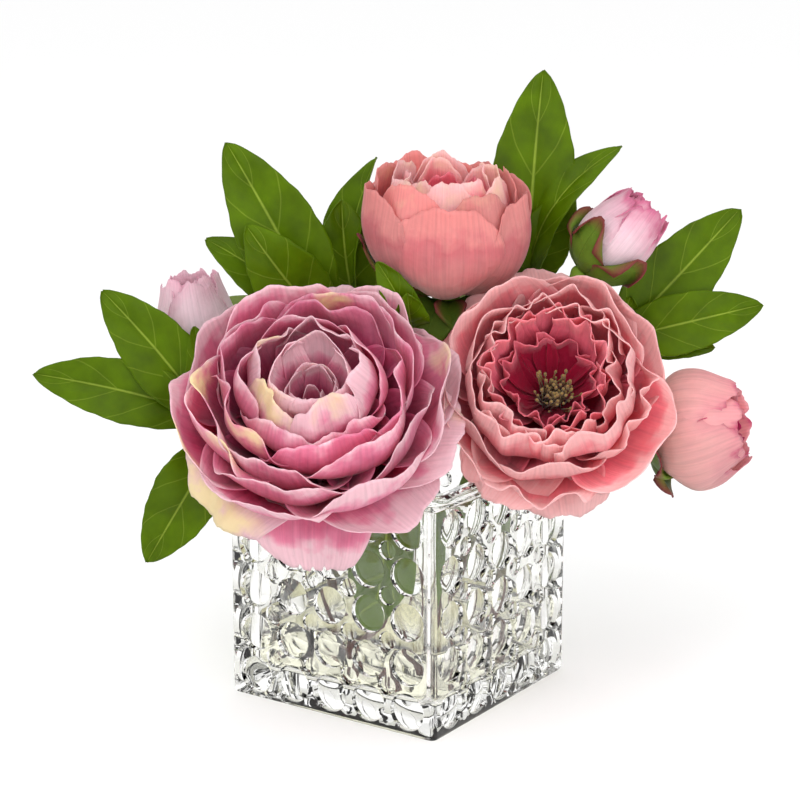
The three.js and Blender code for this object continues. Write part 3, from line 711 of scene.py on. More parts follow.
class PEONY_PG_flowers(bpy.types.PropertyGroup):
    """Petals, sepals and stamens."""

    petal: length("Petal cloth", "Thickness of a petal", 0.32)
    sepal: length("Sepal cloth", "Thickness of a sepal", 0.6)
    ruffle: number("Ruffle", "Share of the usual ruffling", 1.0)
    mauve_deep: colour("Mauve, deep", "Base of the mauve petals", "#B23A62")
    mauve_spot: colour("Mauve, middle", "Lower middle of the mauve petals", "#DB5E8B")
    mauve: colour("Mauve", "Upper part of the mauve petals", "#EE9CB9")
    mauve_rim: colour("Mauve, rim", "Rim of the mauve petals", "#F8D8E0")
    coral_deep: colour("Coral, deep", "Base of the coral petals", "#B5123E")
    coral_spot: colour("Coral, middle", "Lower middle of the coral petals", "#EE7D92")
    coral: colour("Coral", "Upper part of the coral petals", "#F7A6AF")
    coral_rim: colour("Coral, rim", "Rim of the coral petals", "#FBD2D2")
    pale_deep: colour("Pale pink, deep", "Base of the pale petals", "#F3E4E9")
    pale_spot: colour("Pale pink, middle", "Lower middle of the pale petals", "#F6E0E7")
    pale: colour("Pale pink", "Upper part of the pale petals", "#F0C4D3")
    pale_rim: colour("Pale pink, rim", "Rim of the pale petals", "#DE86A8")
    peach_deep: colour("Peach, deep", "Base of the cup's outer petals", "#EFD3CA")
    peach_spot: colour("Peach, middle", "Lower middle of the cup's outer petals", "#E6A09F")
    peach: colour("Peach", "Upper part of the cup's outer petals", "#DE848A")
    peach_rim: colour("Peach, rim", "Rim of the cup's outer petals", "#EBA09D")
    blush_deep: colour("Blush, deep", "Base of the lower bud's petals", "#EFC2BB")
    blush_spot: colour("Blush, middle", "Lower middle of the lower bud's petals", "#F2BFBE")
    blush: colour("Blush", "Upper part of the lower bud's petals", "#EDAFB5")
    blush_rim: colour("Blush, rim", "Rim of the lower bud's petals", "#D03C78")
    cream: colour("Cream", "Brushed patches", "#F6E9BE")
    stalk: colour("Stamen", "Stamen threads", "#8F7A3A")
    anther: colour("Anther", "Tips of the stamens", "#5E3D1E")
    stamens: bpy.props.IntProperty(name="Stamens", description="Number of stamens", default=90)


class PEONY_PG_greens(bpy.types.PropertyGroup):
    """Leaves, sepals and stems."""

    leaf: length("Leaf cloth", "Thickness of a leaf", 0.5)
    upper: colour("Leaf", "Upper side of a leaf", "#4C6600")
    under: colour("Leaf, under", "Under side of a leaf", "#7A8C4A")
    vein: colour("Vein", "Midrib and side veins", "#7F9430")
    sepal: colour("Sepal", "Sepals", "#6F8E2E")
    sepal_edge: colour("Sepal edge", "Edges of the sepals", "#7C2B3A")
    stem: colour("Stem", "Upper part of the stems", "#5C7230")
    stem_foot: colour("Stem foot", "Stems near the water", "#4A160E")


class PEONY_PG_stage(bpy.types.PropertyGroup):
    """The floor, the lights and the camera."""

    azimuth: angle("Camera azimuth", "The way the camera looks from", 34.2)
    elevation: angle("Camera elevation", "How far the camera looks down", 14.2)
    distance: length("Camera distance", "From the vase's axis", 977.2)
    aim: length("Camera aim", "Height that the camera looks at", 123.0)
    lens: number("Lens", "Focal length in millimetres", 106.3)
    floor: colour("Floor", "Floor", "#F6F6F6")
    sky: number("Sky", "Strength of the light from all round", 1.25)
    key: number("Key light", "Watts of the large soft light", 8.5)


GROUPS = {
    "peony_vase": PEONY_PG_vase, "peony_flowers": PEONY_PG_flowers,
    "peony_greens": PEONY_PG_greens, "peony_stage": PEONY_PG_stage,
}


CLOTHS = {  # key: (the cloth's name, its slot)
    "mauve": ("Mauve", "mauve_fabric"), "coral": ("Coral", "coral_fabric"),
    "peach": ("Peach", "coral_fabric"),
    "blush": ("Blush", "coral_fabric"), "pale": ("Pale pink", "pale_pink_fabric"),
}


def fabric(kind):
    """The petal cloth of one colour, from the settings."""
    chosen = bpy.context.scene.peony_flowers
    keys = (kind + "_deep", kind, kind + "_rim", "cream", kind + "_spot")
    colours = [tuple(getattr(chosen, key)) for key in keys]
    return petal_fabric(CLOTHS[kind][0] + " printed polyester satin", *colours)


def sepal_cloth():
    """The leaf cloth as dyed for sepals, with a brushed edge."""
    greens = bpy.context.scene.peony_greens
    return leaf_fabric(
        "Waxed polyester sepal cloth", tuple(greens.sepal), tuple(greens.sepal), tuple(greens.sepal),
        tuple(greens.sepal_edge), 0.8,
    )


# ---- Vase ----
BUBBLES = 5  # large bubbles along each side
BUBBLE_SIDES = 36
BUBBLE_RINGS = 10
SLIVER = 1e-4  # a triangle of less than half this area, in square millimetres, is dropped
WELD = 2e-5  # points closer than this, in metres, are joined
INSIDE = 0.994  # share of a hole's radius within which a triangle's centre lies in the hole


def rounded_square(side, radius, z, straight, corner):
    """Points of a square with round corners, counted the same way whatever its size."""
    h = side / 2
    points = []
    for k in range(4):
        turn = k * math.pi / 2
        line = [(-h + radius + (2 * h - 2 * radius) * i / straight, -h) for i in range(straight)]
        arc = [
            (
                h - radius + radius * math.sin(math.pi / 2 * i / corner),
                -h + radius - radius * math.cos(math.pi / 2 * i / corner),
            )
            for i in range(corner)
        ]
        for x, y in line + arc:
            points.append(
                (x * math.cos(turn) - y * math.sin(turn), x * math.sin(turn) + y * math.cos(turn), z)
            )
    return points


def bubble_centres(pitch, count):
    """The middles of a square grid of bubbles."""
    return [
        ((i - (count - 1) / 2) * pitch, (j - (count - 1) / 2) * pitch)
        for i in range(count)
        for j in range(count)
    ]


def flat_span(s):
    """The levels where the flat of a side begins and ends."""
    return 1.6, VASE_HEIGHT - s.rim / MM - 1.0


def vase_shell(shape, s, middle):
    """Everything of the vase but its bubbles: four pierced sides, the edges, the bead and the hollow."""
    straight, corner, levels = 24, 6, 24
    low, high = flat_span(s)
    side, edge = VASE_SIDE, s.edge / MM
    bead_side, bead_corner = VASE_SIDE - 1.2, s.rim_corner / MM
    top, rim = VASE_HEIGHT, s.rim / MM
    mouth, inner, floor = 2 * MOUTH, s.inner / MM, s.floor / MM

    def loop(a, r, z):
        return rounded_square(a, r, z, straight, corner)

    # the foot stands on a narrow ring round a shallow hollow
    hollow = 1.0
    outside_foot = [
        loop(side * 0.5, edge, hollow), loop(side - 12, edge, hollow), loop(side - 9, edge, hollow * 0.6),
    ]
    outside_foot += [loop(side - 7, edge, 0.1), loop(side - 6, edge, 0), loop(side - 3, edge, 0)]
    outside_foot.append(loop(side - 1, edge, 0.45))
    outside_foot.append(loop(side, edge, low))
    outside_top = [
        loop(side, edge, high), loop(side - 0.5, edge, high + 0.7), loop(side - 1.6, edge + 1, high + 1),
    ]
    outside_top.append(loop(bead_side - 2.2, bead_corner, high + 1.1))
    for k in range(9):
        a = -math.pi / 2 + 1.15 * math.pi * k / 8
        outside_top.append(
            loop(bead_side - 2.4 + 2.4 * math.cos(a), bead_corner, top - rim / 2 + rim / 2 * math.sin(a))
        )
    for k in range(5):
        a = math.pi / 2 * k / 4
        outside_top.append(loop(
            mouth + 2.6 - 2.6 * math.sin(a), inner + 1, top - 0.2 - 2.2 * (1 - math.cos(a)),
        ))
    outside_top += [loop(mouth, inner, z) for z in (top - 8, 70, 45, floor + 5)]
    for k in range(1, 5):
        a = math.pi / 2 * k / 4
        outside_top.append(loop(mouth - 10 + 10 * math.cos(a), inner, floor + 5 - 5 * math.sin(a)))
    outside_top.append(loop(mouth * 0.4, inner * 0.4, floor))
    count = 4 * (straight + corner)
    for loops, at_foot in ((outside_foot, True), (outside_top, False)):
        points = [q for one in loops for q in one]
        end = 0 if at_foot else (len(loops) - 1) * count
        pairs = [(end + i, end + (i + 1) % count) for i in range(count)]
        fan = [(len(points), *(pair[::-1] if at_foot else pair)) for pair in pairs]
        centre = (0, 0, points[end][2])
        shape.take(points + [centre], quads(len(loops), count) + fan)
    # the upright edges, between the sides
    heights = [low + (high - low) * j / levels for j in range(levels + 1)]
    for k in range(4):
        begin = k * (straight + corner) + straight
        strip = [loop(side, edge, z)[(begin + i) % count] for z in heights for i in range(corner + 1)]
        shape.take(strip, quads(len(heights), corner + 1, closed=False))
    # one pierced side, turned to the other three
    half = side / 2 - edge
    border = [(-half + 2 * half * i / straight, low) for i in range(straight)]
    border += [(half, z) for z in heights[:-1]]
    border += [(half - 2 * half * i / straight, high) for i in range(straight)]
    border += [(-half, z) for z in heights[:0:-1]]
    flat, edges = list(border), [(i, (i + 1) % len(border)) for i in range(len(border))]
    holes = []
    for size, count_here in ((s.bubble, BUBBLES), (s.small_bubble, BUBBLES - 1)):
        radius = size / 2 / MM
        for x, z in bubble_centres(s.pitch / MM, count_here):
            first = len(flat)
            for i in range(BUBBLE_SIDES):
                a = 2 * math.pi * i / BUBBLE_SIDES
                flat.append((x + radius * math.cos(a), middle + z + radius * math.sin(a)))
            edges += [(first + i, first + (i + 1) % BUBBLE_SIDES) for i in range(BUBBLE_SIDES)]
            holes.append((x, middle + z, radius))
    found = delaunay_2d_cdt([Vector(q) for q in flat], edges, [], 0, 1e-5)
    flat, triangles = found[0], found[2]
    kept = []
    for face in triangles:
        a, b, c = (flat[i] for i in face)
        centre = (a + b + c) / 3
        sliver = abs((b - a).cross(c - a)) < SLIVER
        if not sliver and all((centre - Vector(at)).length > radius * INSIDE for *at, radius in holes):
            kept.append(tuple(face))
    for k in range(4):
        turn = k * math.pi / 2
        points = [
            (
                q.x * math.cos(turn) + side / 2 * math.sin(turn),
                q.x * math.sin(turn) - side / 2 * math.cos(turn),
                q.y,
            )
            for q in flat
        ]
        shape.take(points, kept)


def bubble_tree():
    """Geometry Nodes: a square grid of large bubbles with small ones between, on all four sides."""
    sizes = ["Bubble", "Small bubble", "Pitch", "Sink", "Groove", "Half side", "Middle"]
    tree, node, given = new_group("Pressed bubbles", Float=sizes)
    grids = []
    last = float(BUBBLE_RINGS)
    for size, count in (("Bubble", BUBBLES), ("Small bubble", BUBBLES - 1)):
        radius = node("ShaderNodeMath", {0: given[size], 1: 0.5}, operation="MULTIPLY")
        disc = node(
            "GeometryNodeMeshCone",
            {
                "Vertices": BUBBLE_SIDES, "Side Segments": BUBBLE_RINGS, "Radius Top": 0.0,
                "Radius Bottom": radius, "Depth": 0.0,
            },
            fill_type="NONE",
        )
        at = node("GeometryNodeInputPosition")
        out = node("ShaderNodeVectorMath", {0: at}, operation="LENGTH")
        t = node("ShaderNodeMath", {0: out, 1: radius}, operation="DIVIDE")
        wide = node("ShaderNodeMath", {0: t, 1: last / (last - 1)}, operation="MULTIPLY")
        dome = node("ShaderNodeMath", {0: wide, 1: 1.0}, operation="MINIMUM")
        beyond = node("ShaderNodeMath", {0: t, 1: last, 2: 1 - last}, operation="MULTIPLY_ADD")
        wall = node("ShaderNodeMath", {0: beyond, 1: 0.0}, operation="MAXIMUM")
        body = node("ShaderNodeMath", {0: radius, 1: given["Groove"]}, operation="SUBTRACT")
        reach = node("ShaderNodeMath", {0: body, 1: dome}, operation="MULTIPLY")
        spread = node("ShaderNodeMath", {0: given["Groove"], 1: wall, 2: reach}, operation="MULTIPLY_ADD")
        safe = node("ShaderNodeMath", {0: out, 1: 1e-7}, operation="MAXIMUM")
        grow = node("ShaderNodeMath", {0: spread, 1: safe}, operation="DIVIDE")
        scaled = node("ShaderNodeVectorMath", {0: at, "Scale": grow}, operation="SCALE")
        bulge = node("ShaderNodeMath", {0: dome, 1: dome}, operation="MULTIPLY")
        rise = node("ShaderNodeMath", {0: wall, 1: bulge}, operation="SUBTRACT")
        ratio = node("ShaderNodeMath", {0: given[size], 1: given["Bubble"]}, operation="DIVIDE")
        depth = node("ShaderNodeMath", {0: given["Sink"], 1: ratio}, operation="MULTIPLY")
        z = node("ShaderNodeMath", {0: rise, 1: depth}, operation="MULTIPLY")
        parts = node("ShaderNodeSeparateXYZ", {0: scaled})
        domed = node("ShaderNodeCombineXYZ", {"X": parts.outputs["X"], "Y": parts.outputs["Y"], "Z": z})
        pressed = node("GeometryNodeSetPosition", {"Geometry": disc, "Position": domed})
        span = node("ShaderNodeMath", {0: given["Pitch"], 1: count - 1.0}, operation="MULTIPLY")
        grid = node("GeometryNodeMeshGrid", {
            "Size X": span, "Size Y": span, "Vertices X": count, "Vertices Y": count,
        })
        placed = node("GeometryNodeInstanceOnPoints", {"Points": grid, "Instance": pressed})
        grids.append(placed)
    both = node("GeometryNodeJoinGeometry", {0: grids})
    out_by = node("ShaderNodeMath", {0: given["Half side"], 1: -1.0}, operation="MULTIPLY")
    where = node("ShaderNodeCombineXYZ", {"Y": out_by, "Z": given["Middle"]})
    one_side = node("GeometryNodeTransform", {
        "Geometry": both, "Translation": where, "Rotation": Euler((math.pi / 2, 0, 0)),
    })
    quarter = node(
        "ShaderNodeMath", {0: node("GeometryNodeInputIndex"), 1: math.pi / 2}, operation="MULTIPLY",
    )
    turned = node("ShaderNodeCombineXYZ", {"Z": quarter})
    four = node("GeometryNodeMeshLine", {"Count": 4, "Offset": (0.0, 0.0, 0.0)})
    sides = node("GeometryNodeInstanceOnPoints", {"Points": four, "Instance": one_side, "Rotation": turned})
    whole = node("GeometryNodeJoinGeometry", {0: [given["Geometry"], sides]})
    real = node("GeometryNodeRealizeInstances", {"Geometry": whole})
    welded = node("GeometryNodeMergeByDistance", {"Geometry": real, "Distance": WELD})
    finished = node("GeometryNodeSetMaterial", {"Geometry": welded, "Material": given["Material"]})
    node("NodeGroupOutput", {0: finished})
    return tree


def grown(base, tree, values):
    """The plain mesh that a node tree makes of an object, whose modifier is then gone."""
    modifier = base.modifiers.new("Grow", "NODES")
    modifier.node_group = tree
    for item in tree.interface.items_tree:
        if item.in_out == "INPUT" and item.name in values:
            modifier[item.identifier] = values[item.name]
    seen = base.evaluated_get(bpy.context.evaluated_depsgraph_get())
    mesh = bpy.data.meshes.new_from_object(seen)
    base.modifiers.remove(modifier)
    old = base.data
    base.data = mesh
    bpy.data.meshes.remove(old)
    return base


class PEONY_OT_vase(bpy.types.Operator):
    """Press the square vase with its bubbles"""

    bl_idname = "peony.vase"
    bl_label = "Vase"

    def execute(self, context):
        s = context.scene.peony_vase
        glass = clear_body("Pressed soda-lime glass", tuple(s.glass), GLASS_IOR)
        middle = sum(flat_span(s)[::-1]) / 2
        shape = Shape()
        vase_shell(shape, s, middle)
        vase = shape.piece("bubble_vase", glass)
        grown(vase, bubble_tree(), {
            "Bubble": s.bubble, "Small bubble": s.small_bubble, "Pitch": s.pitch, "Sink": s.sink,
            "Groove": s.groove, "Half side": VASE_SIDE / 2 * MM, "Middle": middle * MM, "Material": glass,
        })
        made = bmesh.new()
        made.from_mesh(vase.data)
        bmesh.ops.remove_doubles(made, verts=made.verts, dist=WELD)
        bmesh.ops.recalc_face_normals(made, faces=made.faces)
        open_edges = sum(1 for e in made.edges if not e.is_manifold)
        made.to_mesh(vase.data)
        made.free()
        if open_edges:
            raise RuntimeError(f"the vase has {open_edges} open edges")
        vase.data.polygons.foreach_set("use_smooth", [True] * len(vase.data.polygons))
        vase.data.set_sharp_from_angle(angle=math.radians(32))
        put(vase, "bubble_glass", "vase")
        return {"FINISHED"}


class PEONY_OT_water(bpy.types.Operator):
    """Pour the clear resin that looks like water"""

    bl_idname = "peony.water"
    bl_label = "Set water"

    def execute(self, context):
        s = context.scene.peony_vase
        resin = clear_body("Poured clear epoxy resin", tuple(s.resin), RESIN_IOR)
        side = (WATER_HIGH.x - WATER_LOW.x) / MM
        low, high = WATER_LOW.z / MM, WATER_TOP
        corner = s.inner / MM - GAP
        creep = 1.2  # how far the resin crept up the glass before it set
        straight, arc = 16, 8
        levels = [
            (side * 0.3, corner * 0.3, low), (side - 10, corner, low), (side - 6, corner, low + 0.9),
            (side - 2, corner, low + 3.2), (side, corner, low + 6), (side, corner, high - 4),
            (side, corner, high + creep - 0.3), (side - 0.5, corner, high + creep),
            (side - 1.4, corner, high + 0.5), (side - 3.5, corner, high + 0.1), (side - 7, corner, high),
            (side * 0.5, corner, high), (side * 0.2, corner * 0.2, high),
        ]
        loops = [rounded_square(a, r, z, straight, arc) for a, r, z in levels]
        count = 4 * (straight + arc)
        points = [q for one in loops for q in one] + [(0, 0, low), (0, 0, high)]
        shape = Shape()
        shape.take(points, closed_body(len(loops), count))
        put(shape.piece("set_water_block", resin, sharp=math.radians(50)), "set_resin", "set_water")
        return {"FINISHED"}


# ---- Stems and leaves ----
BROADER = 1.1  # a blade's width over its width in the solids
LEAF_VEINS = 8  # pairs of side veins along a blade
VEIN_SLANT = 0.28  # how far a side vein runs forwards, as a share of the length


class PEONY_OT_stems(bpy.types.Operator):
    """Draw the six wired stems"""

    bl_idname = "peony.stems"
    bl_label = "Stems"

    def execute(self, context):
        greens = context.scene.peony_greens
        sleeve = stem_plastic("Extruded polyethylene sleeve", tuple(greens.stem), tuple(greens.stem_foot))
        for i, (name, track) in enumerate(STEMS.items()):
            shape = Shape()
            tube(shape, track[::2], STEM_RADIUS, lumps=0.035, seed=i)
            put(shape.piece(name + "_stem_sleeve", sleeve, BOUQUET), "stem_plastic", name + "_stem")
        return {"FINISHED"}


def blade(shape, start, tip, width, face, thickness, seed, arch=0.1, fold=0.2):
    """One leaflet: pointed, folded along its midrib, arched, with pressed veins and a waved margin."""
    rng = random.Random(seed)
    along = tip - start
    long = np.linalg.norm(along)
    face = np.array(face, float)
    normal = face - along * (face @ along) / (along @ along)
    normal /= np.linalg.norm(normal)
    side = np.cross(along / long, normal)
    s = np.linspace(0, 1, 40)[:, None]
    u = np.linspace(-1, 1, 25)[None, :]
    half = BROADER * width / 2 * np.sin(math.pi * s**0.8) ** 0.66 + 0.7 - 0.55 * s
    wave = 0.9 * np.sin(2 * math.pi * (1.6 * s + 0.25 * u) + rng.uniform(0, 6)) * np.abs(u) ** 1.5
    veins = np.cos(LEAF_VEINS * math.pi * (s - VEIN_SLANT * np.abs(u)))
    pressed = -0.22 * smooth_step(veins, 0.8, 1.0) * (1 - np.abs(u) ** 4) * np.minimum(half / 6, 1)
    rib = -0.5 * np.exp(-((u / 0.07) ** 2)) * np.minimum(half / 5, 1)
    puff = 0.35 * (1 - veins) / 2 * np.sin(math.pi * np.abs(u)) * np.minimum(half / 8, 1)
    lift = arch * long * 4 * s * (1 - s) + fold * half * np.abs(u) ** 1.2
    bow = rng.uniform(-0.03, 0.03) * long * np.sin(math.pi * s)
    ragged = 1 + 0.015 * np.sin(26 * s + rng.uniform(0, 6)) + 0.01 * np.sin(61 * s)
    grid = (
        start
        + along * s[..., None]
        + side * (u * half * ragged + bow)[..., None]
        + normal * (lift + wave + pressed + rib + puff - thickness / 2)[..., None]
    )
    points, faces = shell(grid, thickness)
    places = np.stack(np.broadcast_arrays((u + 1) / 2, s), -1).reshape(-1, 2)
    # the blade is darker towards the stalk
    base = np.broadcast_to(0.62 + 0.38 * smooth_step(s, 0.0, 0.35), grid.shape[:2]).reshape(-1)
    front_first = np.dot(np.cross(grid[1, 12] - grid[0, 12], grid[0, 13] - grid[0, 12]), normal) > 0
    # 1 paints the under side; the sheet's second layer lies on the side of its grid's normal
    layers = (1.0, 0.0) if front_first else (0.0, 1.0)
    paints = np.vstack([np.stack([np.full(base.shape, v), np.zeros(base.shape), base], -1) for v in layers])
    shape.take(points, faces, np.vstack([places, places]), paints)


class PEONY_OT_leaves(bpy.types.Operator):
    """Press the leaves and set each on its stalk"""

    bl_idname = "peony.leaves"
    bl_label = "Leaves"

    def execute(self, context):
        greens = context.scene.peony_greens
        cloth = leaf_fabric(
            "Waxed polyester leaf cloth", tuple(greens.upper), tuple(greens.under), tuple(greens.vein),
            tuple(greens.upper), 0.97,
        )
        for i, (name, (stem, share, via, node, facing, leaflets)) in enumerate(LEAVES.items()):
            track = STEMS[stem]
            k = round(share * (len(track) - 1))
            ahead = track[k + 1] - track[k - 1]
            ahead /= np.linalg.norm(ahead)
            toward = (via[0] if via else node) - track[k]
            out = toward - ahead * (toward @ ahead)
            clip = track[k] + out / np.linalg.norm(out) * (STEM_RADIUS + PETIOLE_RADIUS + GAP)
            middle = sum(tip for tip, _, _ in leaflets) / len(leaflets) - node
            end = node + middle / np.linalg.norm(middle) * 4
            shape = Shape()
            tube(
                shape, through([clip, *via, node, end], 40), PETIOLE_RADIUS, sides=10, lumps=0.04, seed=i,
                uneven=lambda q: 1 - 0.35 * q,
            )
            for j, (tip, width, changes) in enumerate(leaflets):
                chosen = {"face": facing, **changes}
                blade(shape, node, tip, width, thickness=greens.leaf / MM, seed=10 * i + j, **chosen)
            put(shape.piece(name + "_blades", cloth, BOUQUET), "leaf_fabric", name)
        return {"FINISHED"}


# ---- Flowers ----
def whorl(head, part, cloth, *rings, word="whorl"):
    """One piece of petals: its rings, each (seed, petals, line, width, other settings)."""
    s = bpy.context.scene.peony_flowers
    shape = Shape()
    for seed, count, line, width, changes in rings:
        changes["ruffle"] *= s.ruffle
        ring(shape, seed, count, line, width, s.petal / MM, **changes)
    piece = shape.piece(f"{head}_{part}_{word}", fabric(cloth), HEADS[head].placed)
    put(piece, CLOTHS[cloth][1], f"{head}_{part}_petals")


SEPAL = {
    "wrap": 0.9, "ruffle": 0.5, "waves": 1.2, "rounding": 0.62, "base": 0.5, "tip": 0.5, "jag": 0.008,
    "warp": 0.5, "curl": 1.5, "across": 18, "along": 16,
}
LINE_STEPS = 60  # samples of the outermost petals' line


def calyx(head, line, seed, count=5, width=20, start=0.0, reach=0.4, under=4.0, socket=6.0, **changes):
    """A head's stem socket, with a ring of sepals a little under the outermost petals' line."""
    track = through(line, LINE_STEPS)
    slope = np.gradient(track, axis=0)
    slope /= np.linalg.norm(slope, axis=1, keepdims=True)
    lower = track + np.stack([slope[:, 1], -slope[:, 0]], 1) * under
    lower = lower[: max(4, int(LINE_STEPS * reach))]
    lower = np.vstack([[socket * 0.6, lower[0, 1]], lower[lower[:, 0] > socket * 0.8]])
    picked = lower[np.linspace(0, len(lower) - 1, 5).round().astype(int)]
    top = picked[0, 1]
    shape = Shape()
    profile = [
        (0.4, -SOCKET_LENGTH), (STEM_RADIUS + 0.9, -SOCKET_LENGTH + 0.2),
        (STEM_RADIUS + 1, -SOCKET_LENGTH + 3), (socket * 0.7, -SOCKET_LENGTH * 0.5), (socket, top - 1.5),
        (socket * 0.9, top + 0.6), (0.4, top + 1),
    ]
    lathe(shape, profile, 20)
    thickness = bpy.context.scene.peony_flowers.sepal / MM
    ring(
        shape, seed, count, [tuple(q) for q in picked], width, thickness, start=start,
        **{**SEPAL, **changes},
    )
    piece = shape.piece(head + "_calyx_cloth", sepal_cloth(), HEADS[head].placed)
    put(piece, "sepal_fabric", head + "_calyx")


class PEONY_OT_mauve_bloom(bpy.types.Operator):
    """Assemble the large mauve bloom"""

    bl_idname = "peony.mauve_bloom"
    bl_label = "Mauve bloom"

    def execute(self, context):
        whorl(
            "mauve", "guard", "mauve",
            (11, 8, [(3, 1), (15, 2), (36, 8), (51, 17), (56, 27)], 62, dict(
                start=40, wrap=0.8, ruffle=1.6, waves=1.0, curl=3.0, rounding=0.2, warp=2.0, across=36,
                along=28, deep=0.05,
                each={
                    0: {"turn": 30}, 1: {"turn": 78},
                    2: {"turn": 122, "line": [(3, 1), (15, 2), (35, 8), (49, 17), (53, 26)]},
                    3: {"turn": 168, "line": [(3, 1), (15, 2), (35, 8), (48, 17), (51, 26)]},
                    4: {
                        "turn": 222, "line": [(3, 1), (14, 2.5), (32, 9), (47, 13), (56, 7)], "curl": 5.0,
                        "cream": 1.3, "cream_at": 0.0, "cream_wide": 0.9, "width": 66, "deep": -0.3,
                        "waves": 2.6, "ruffle": 2.2,
                    },
                    5: {
                        "turn": 269, "line": [(3, 1), (14, 2.5), (30, 3), (42, -4), (47, -18)], "curl": 0.5,
                        "wrap": 0.35, "width": 52, "slits": 3, "across": 70, "ruffle": 0.6,
                        "rounding": 0.22, "deep": 0.08,
                    },
                    6: {
                        "turn": 313, "line": [(3, 1), (14, 2.5), (32, 8), (50, 12), (59, 16)], "width": 60,
                        "curl": 0.5,
                    },
                    7: {
                        "turn": 352, "line": [(3, 1), (14, 2.5), (32, 10), (48, 17), (57, 22)],
                        "cream": 0.6, "cream_at": 0.5, "cream_wide": 0.4,
                    },
                },
            )),
        )
        whorl(
            "mauve", "outer", "mauve",
            (12, 6, [(3, 3.5), (17, 5), (38, 14), (50, 27), (51, 41)], 74, dict(
                start=14, loose=12, stray=3.0, ruffle=1.5, waves=1.3, curl=2.5, across=40, along=28,
                deep=0.22,
                each={
                    0: {"cream": 0.8, "cream_at": 0.4, "cream_wide": 0.4}, 1: {"width": 62},
                    3: {"cream": 0.9, "cream_at": 0.3, "cream_wide": 0.5}, 4: {"curl": 5.0},
                    5: {"curl": 0.0, "deep": 0.2},
                },
            )),
            (13, 5, [(3, 4), (16, 7), (35, 16), (45, 30), (45, 45)], 74, dict(
                start=52, loose=12, stray=3.0, ruffle=1.7, waves=1.5, curl=2.0, across=40, along=28,
                deep=0.32, each={2: {"cream": 0.8, "cream_at": 0.5, "cream_wide": 0.5}, 3: {"curl": 3.5}},
            )),
        )
        whorl(
            "mauve", "middle", "mauve",
            (14, 6, [(3, 6), (14, 9), (31, 19), (40, 34), (39, 50)], 64, dict(
                start=20, loose=12, stray=3.0, ruffle=1.7, waves=1.6, curl=1.5, across=38, along=26,
                deep=0.36,
                each={
                    1: {"cream": 1.0, "cream_at": 0.2, "cream_wide": 0.4},
                    3: {"cream": 1.0, "cream_at": -0.2, "cream_wide": 0.5, "curl": 4.0},
                    4: {"deep": 0.3, "curl": 3.0},
                },
            )),
            (15, 5, [(3, 7), (13, 11), (27, 23), (35, 38), (33, 54)], 62, dict(
                start=2, loose=12, stray=2.5, ruffle=1.9, waves=1.8, curl=1.0, across=38, along=26,
                deep=0.44, each={3: {"cream": 0.9, "cream_at": 0.4, "cream_wide": 0.5}},
            )),
        )
        whorl(
            "mauve", "inner", "mauve",
            (16, 5, [(3, 8.5), (10, 12), (22, 25), (29, 41), (25, 55)], 56, dict(
                start=32, loose=5, ruffle=1.1, waves=1.3, curl=-0.5, warp=1.0, across=38, along=28,
                deep=0.36,
                each={
                    2: {"ruffle": 2.0, "waves": 1.7},
                    3: {"turn": 246, "width": 52, "line": [
                        (3, 8.5), (10, 12), (22, 25), (30, 41), (27, 51),
                    ]},
                    4: {"turn": 300, "width": 54, "notch": 0.07, "line": [
                        (3, 8.5), (10, 12), (22, 25), (31, 41), (28, 50),
                    ]},
                },
            )),
            (17, 5, [(3, 9), (9, 13), (20, 27), (25.5, 42), (19, 57)], 44, dict(
                start=6, loose=9, stray=2.2, ruffle=1.9, waves=2.0, curl=-0.5, warp=0.8, across=34,
                along=26, deep=0.12, cream=0.7, cream_wide=0.7,
                each={0: {"cream": 0.2}, 1: {"cream": 0.3}, 3: {"cream": 1.0, "cream_wide": 1.2}},
            )),
        )
        whorl(
            "mauve", "heart", "mauve",
            (18, 5, [(3, 11), (6, 17), (13, 32), (17, 46), (15, 54)], 32, dict(
                start=10, ruffle=1.0, waves=1.4, warp=0.5, tip=1.0, rounding=0.06, across=24, along=20,
                deep=-0.1, cream=0.45, cream_wide=1.2,
            )),
            (19, 5, [(2, 12), (5, 18), (9, 29), (10.5, 38), (9.5, 44)], 24, dict(
                start=40, ruffle=0.9, waves=1.2, warp=0.5, tip=1.0, rounding=0.06, across=20, along=18,
                deep=0.1, cream=0.5,
            )),
            (20, 3, [(1, 13), (2, 18), (4, 26), (5, 32), (4, 37)], 11, dict(
                start=0, ruffle=0.7, waves=1.0, warp=0.4, across=16, along=16, deep=0.2,
            )),
        )
        calyx("mauve", [(0, 1), (14, 2.5), (32, 9), (48, 15), (56, 13)], 21, width=22)
        return {"FINISHED"}


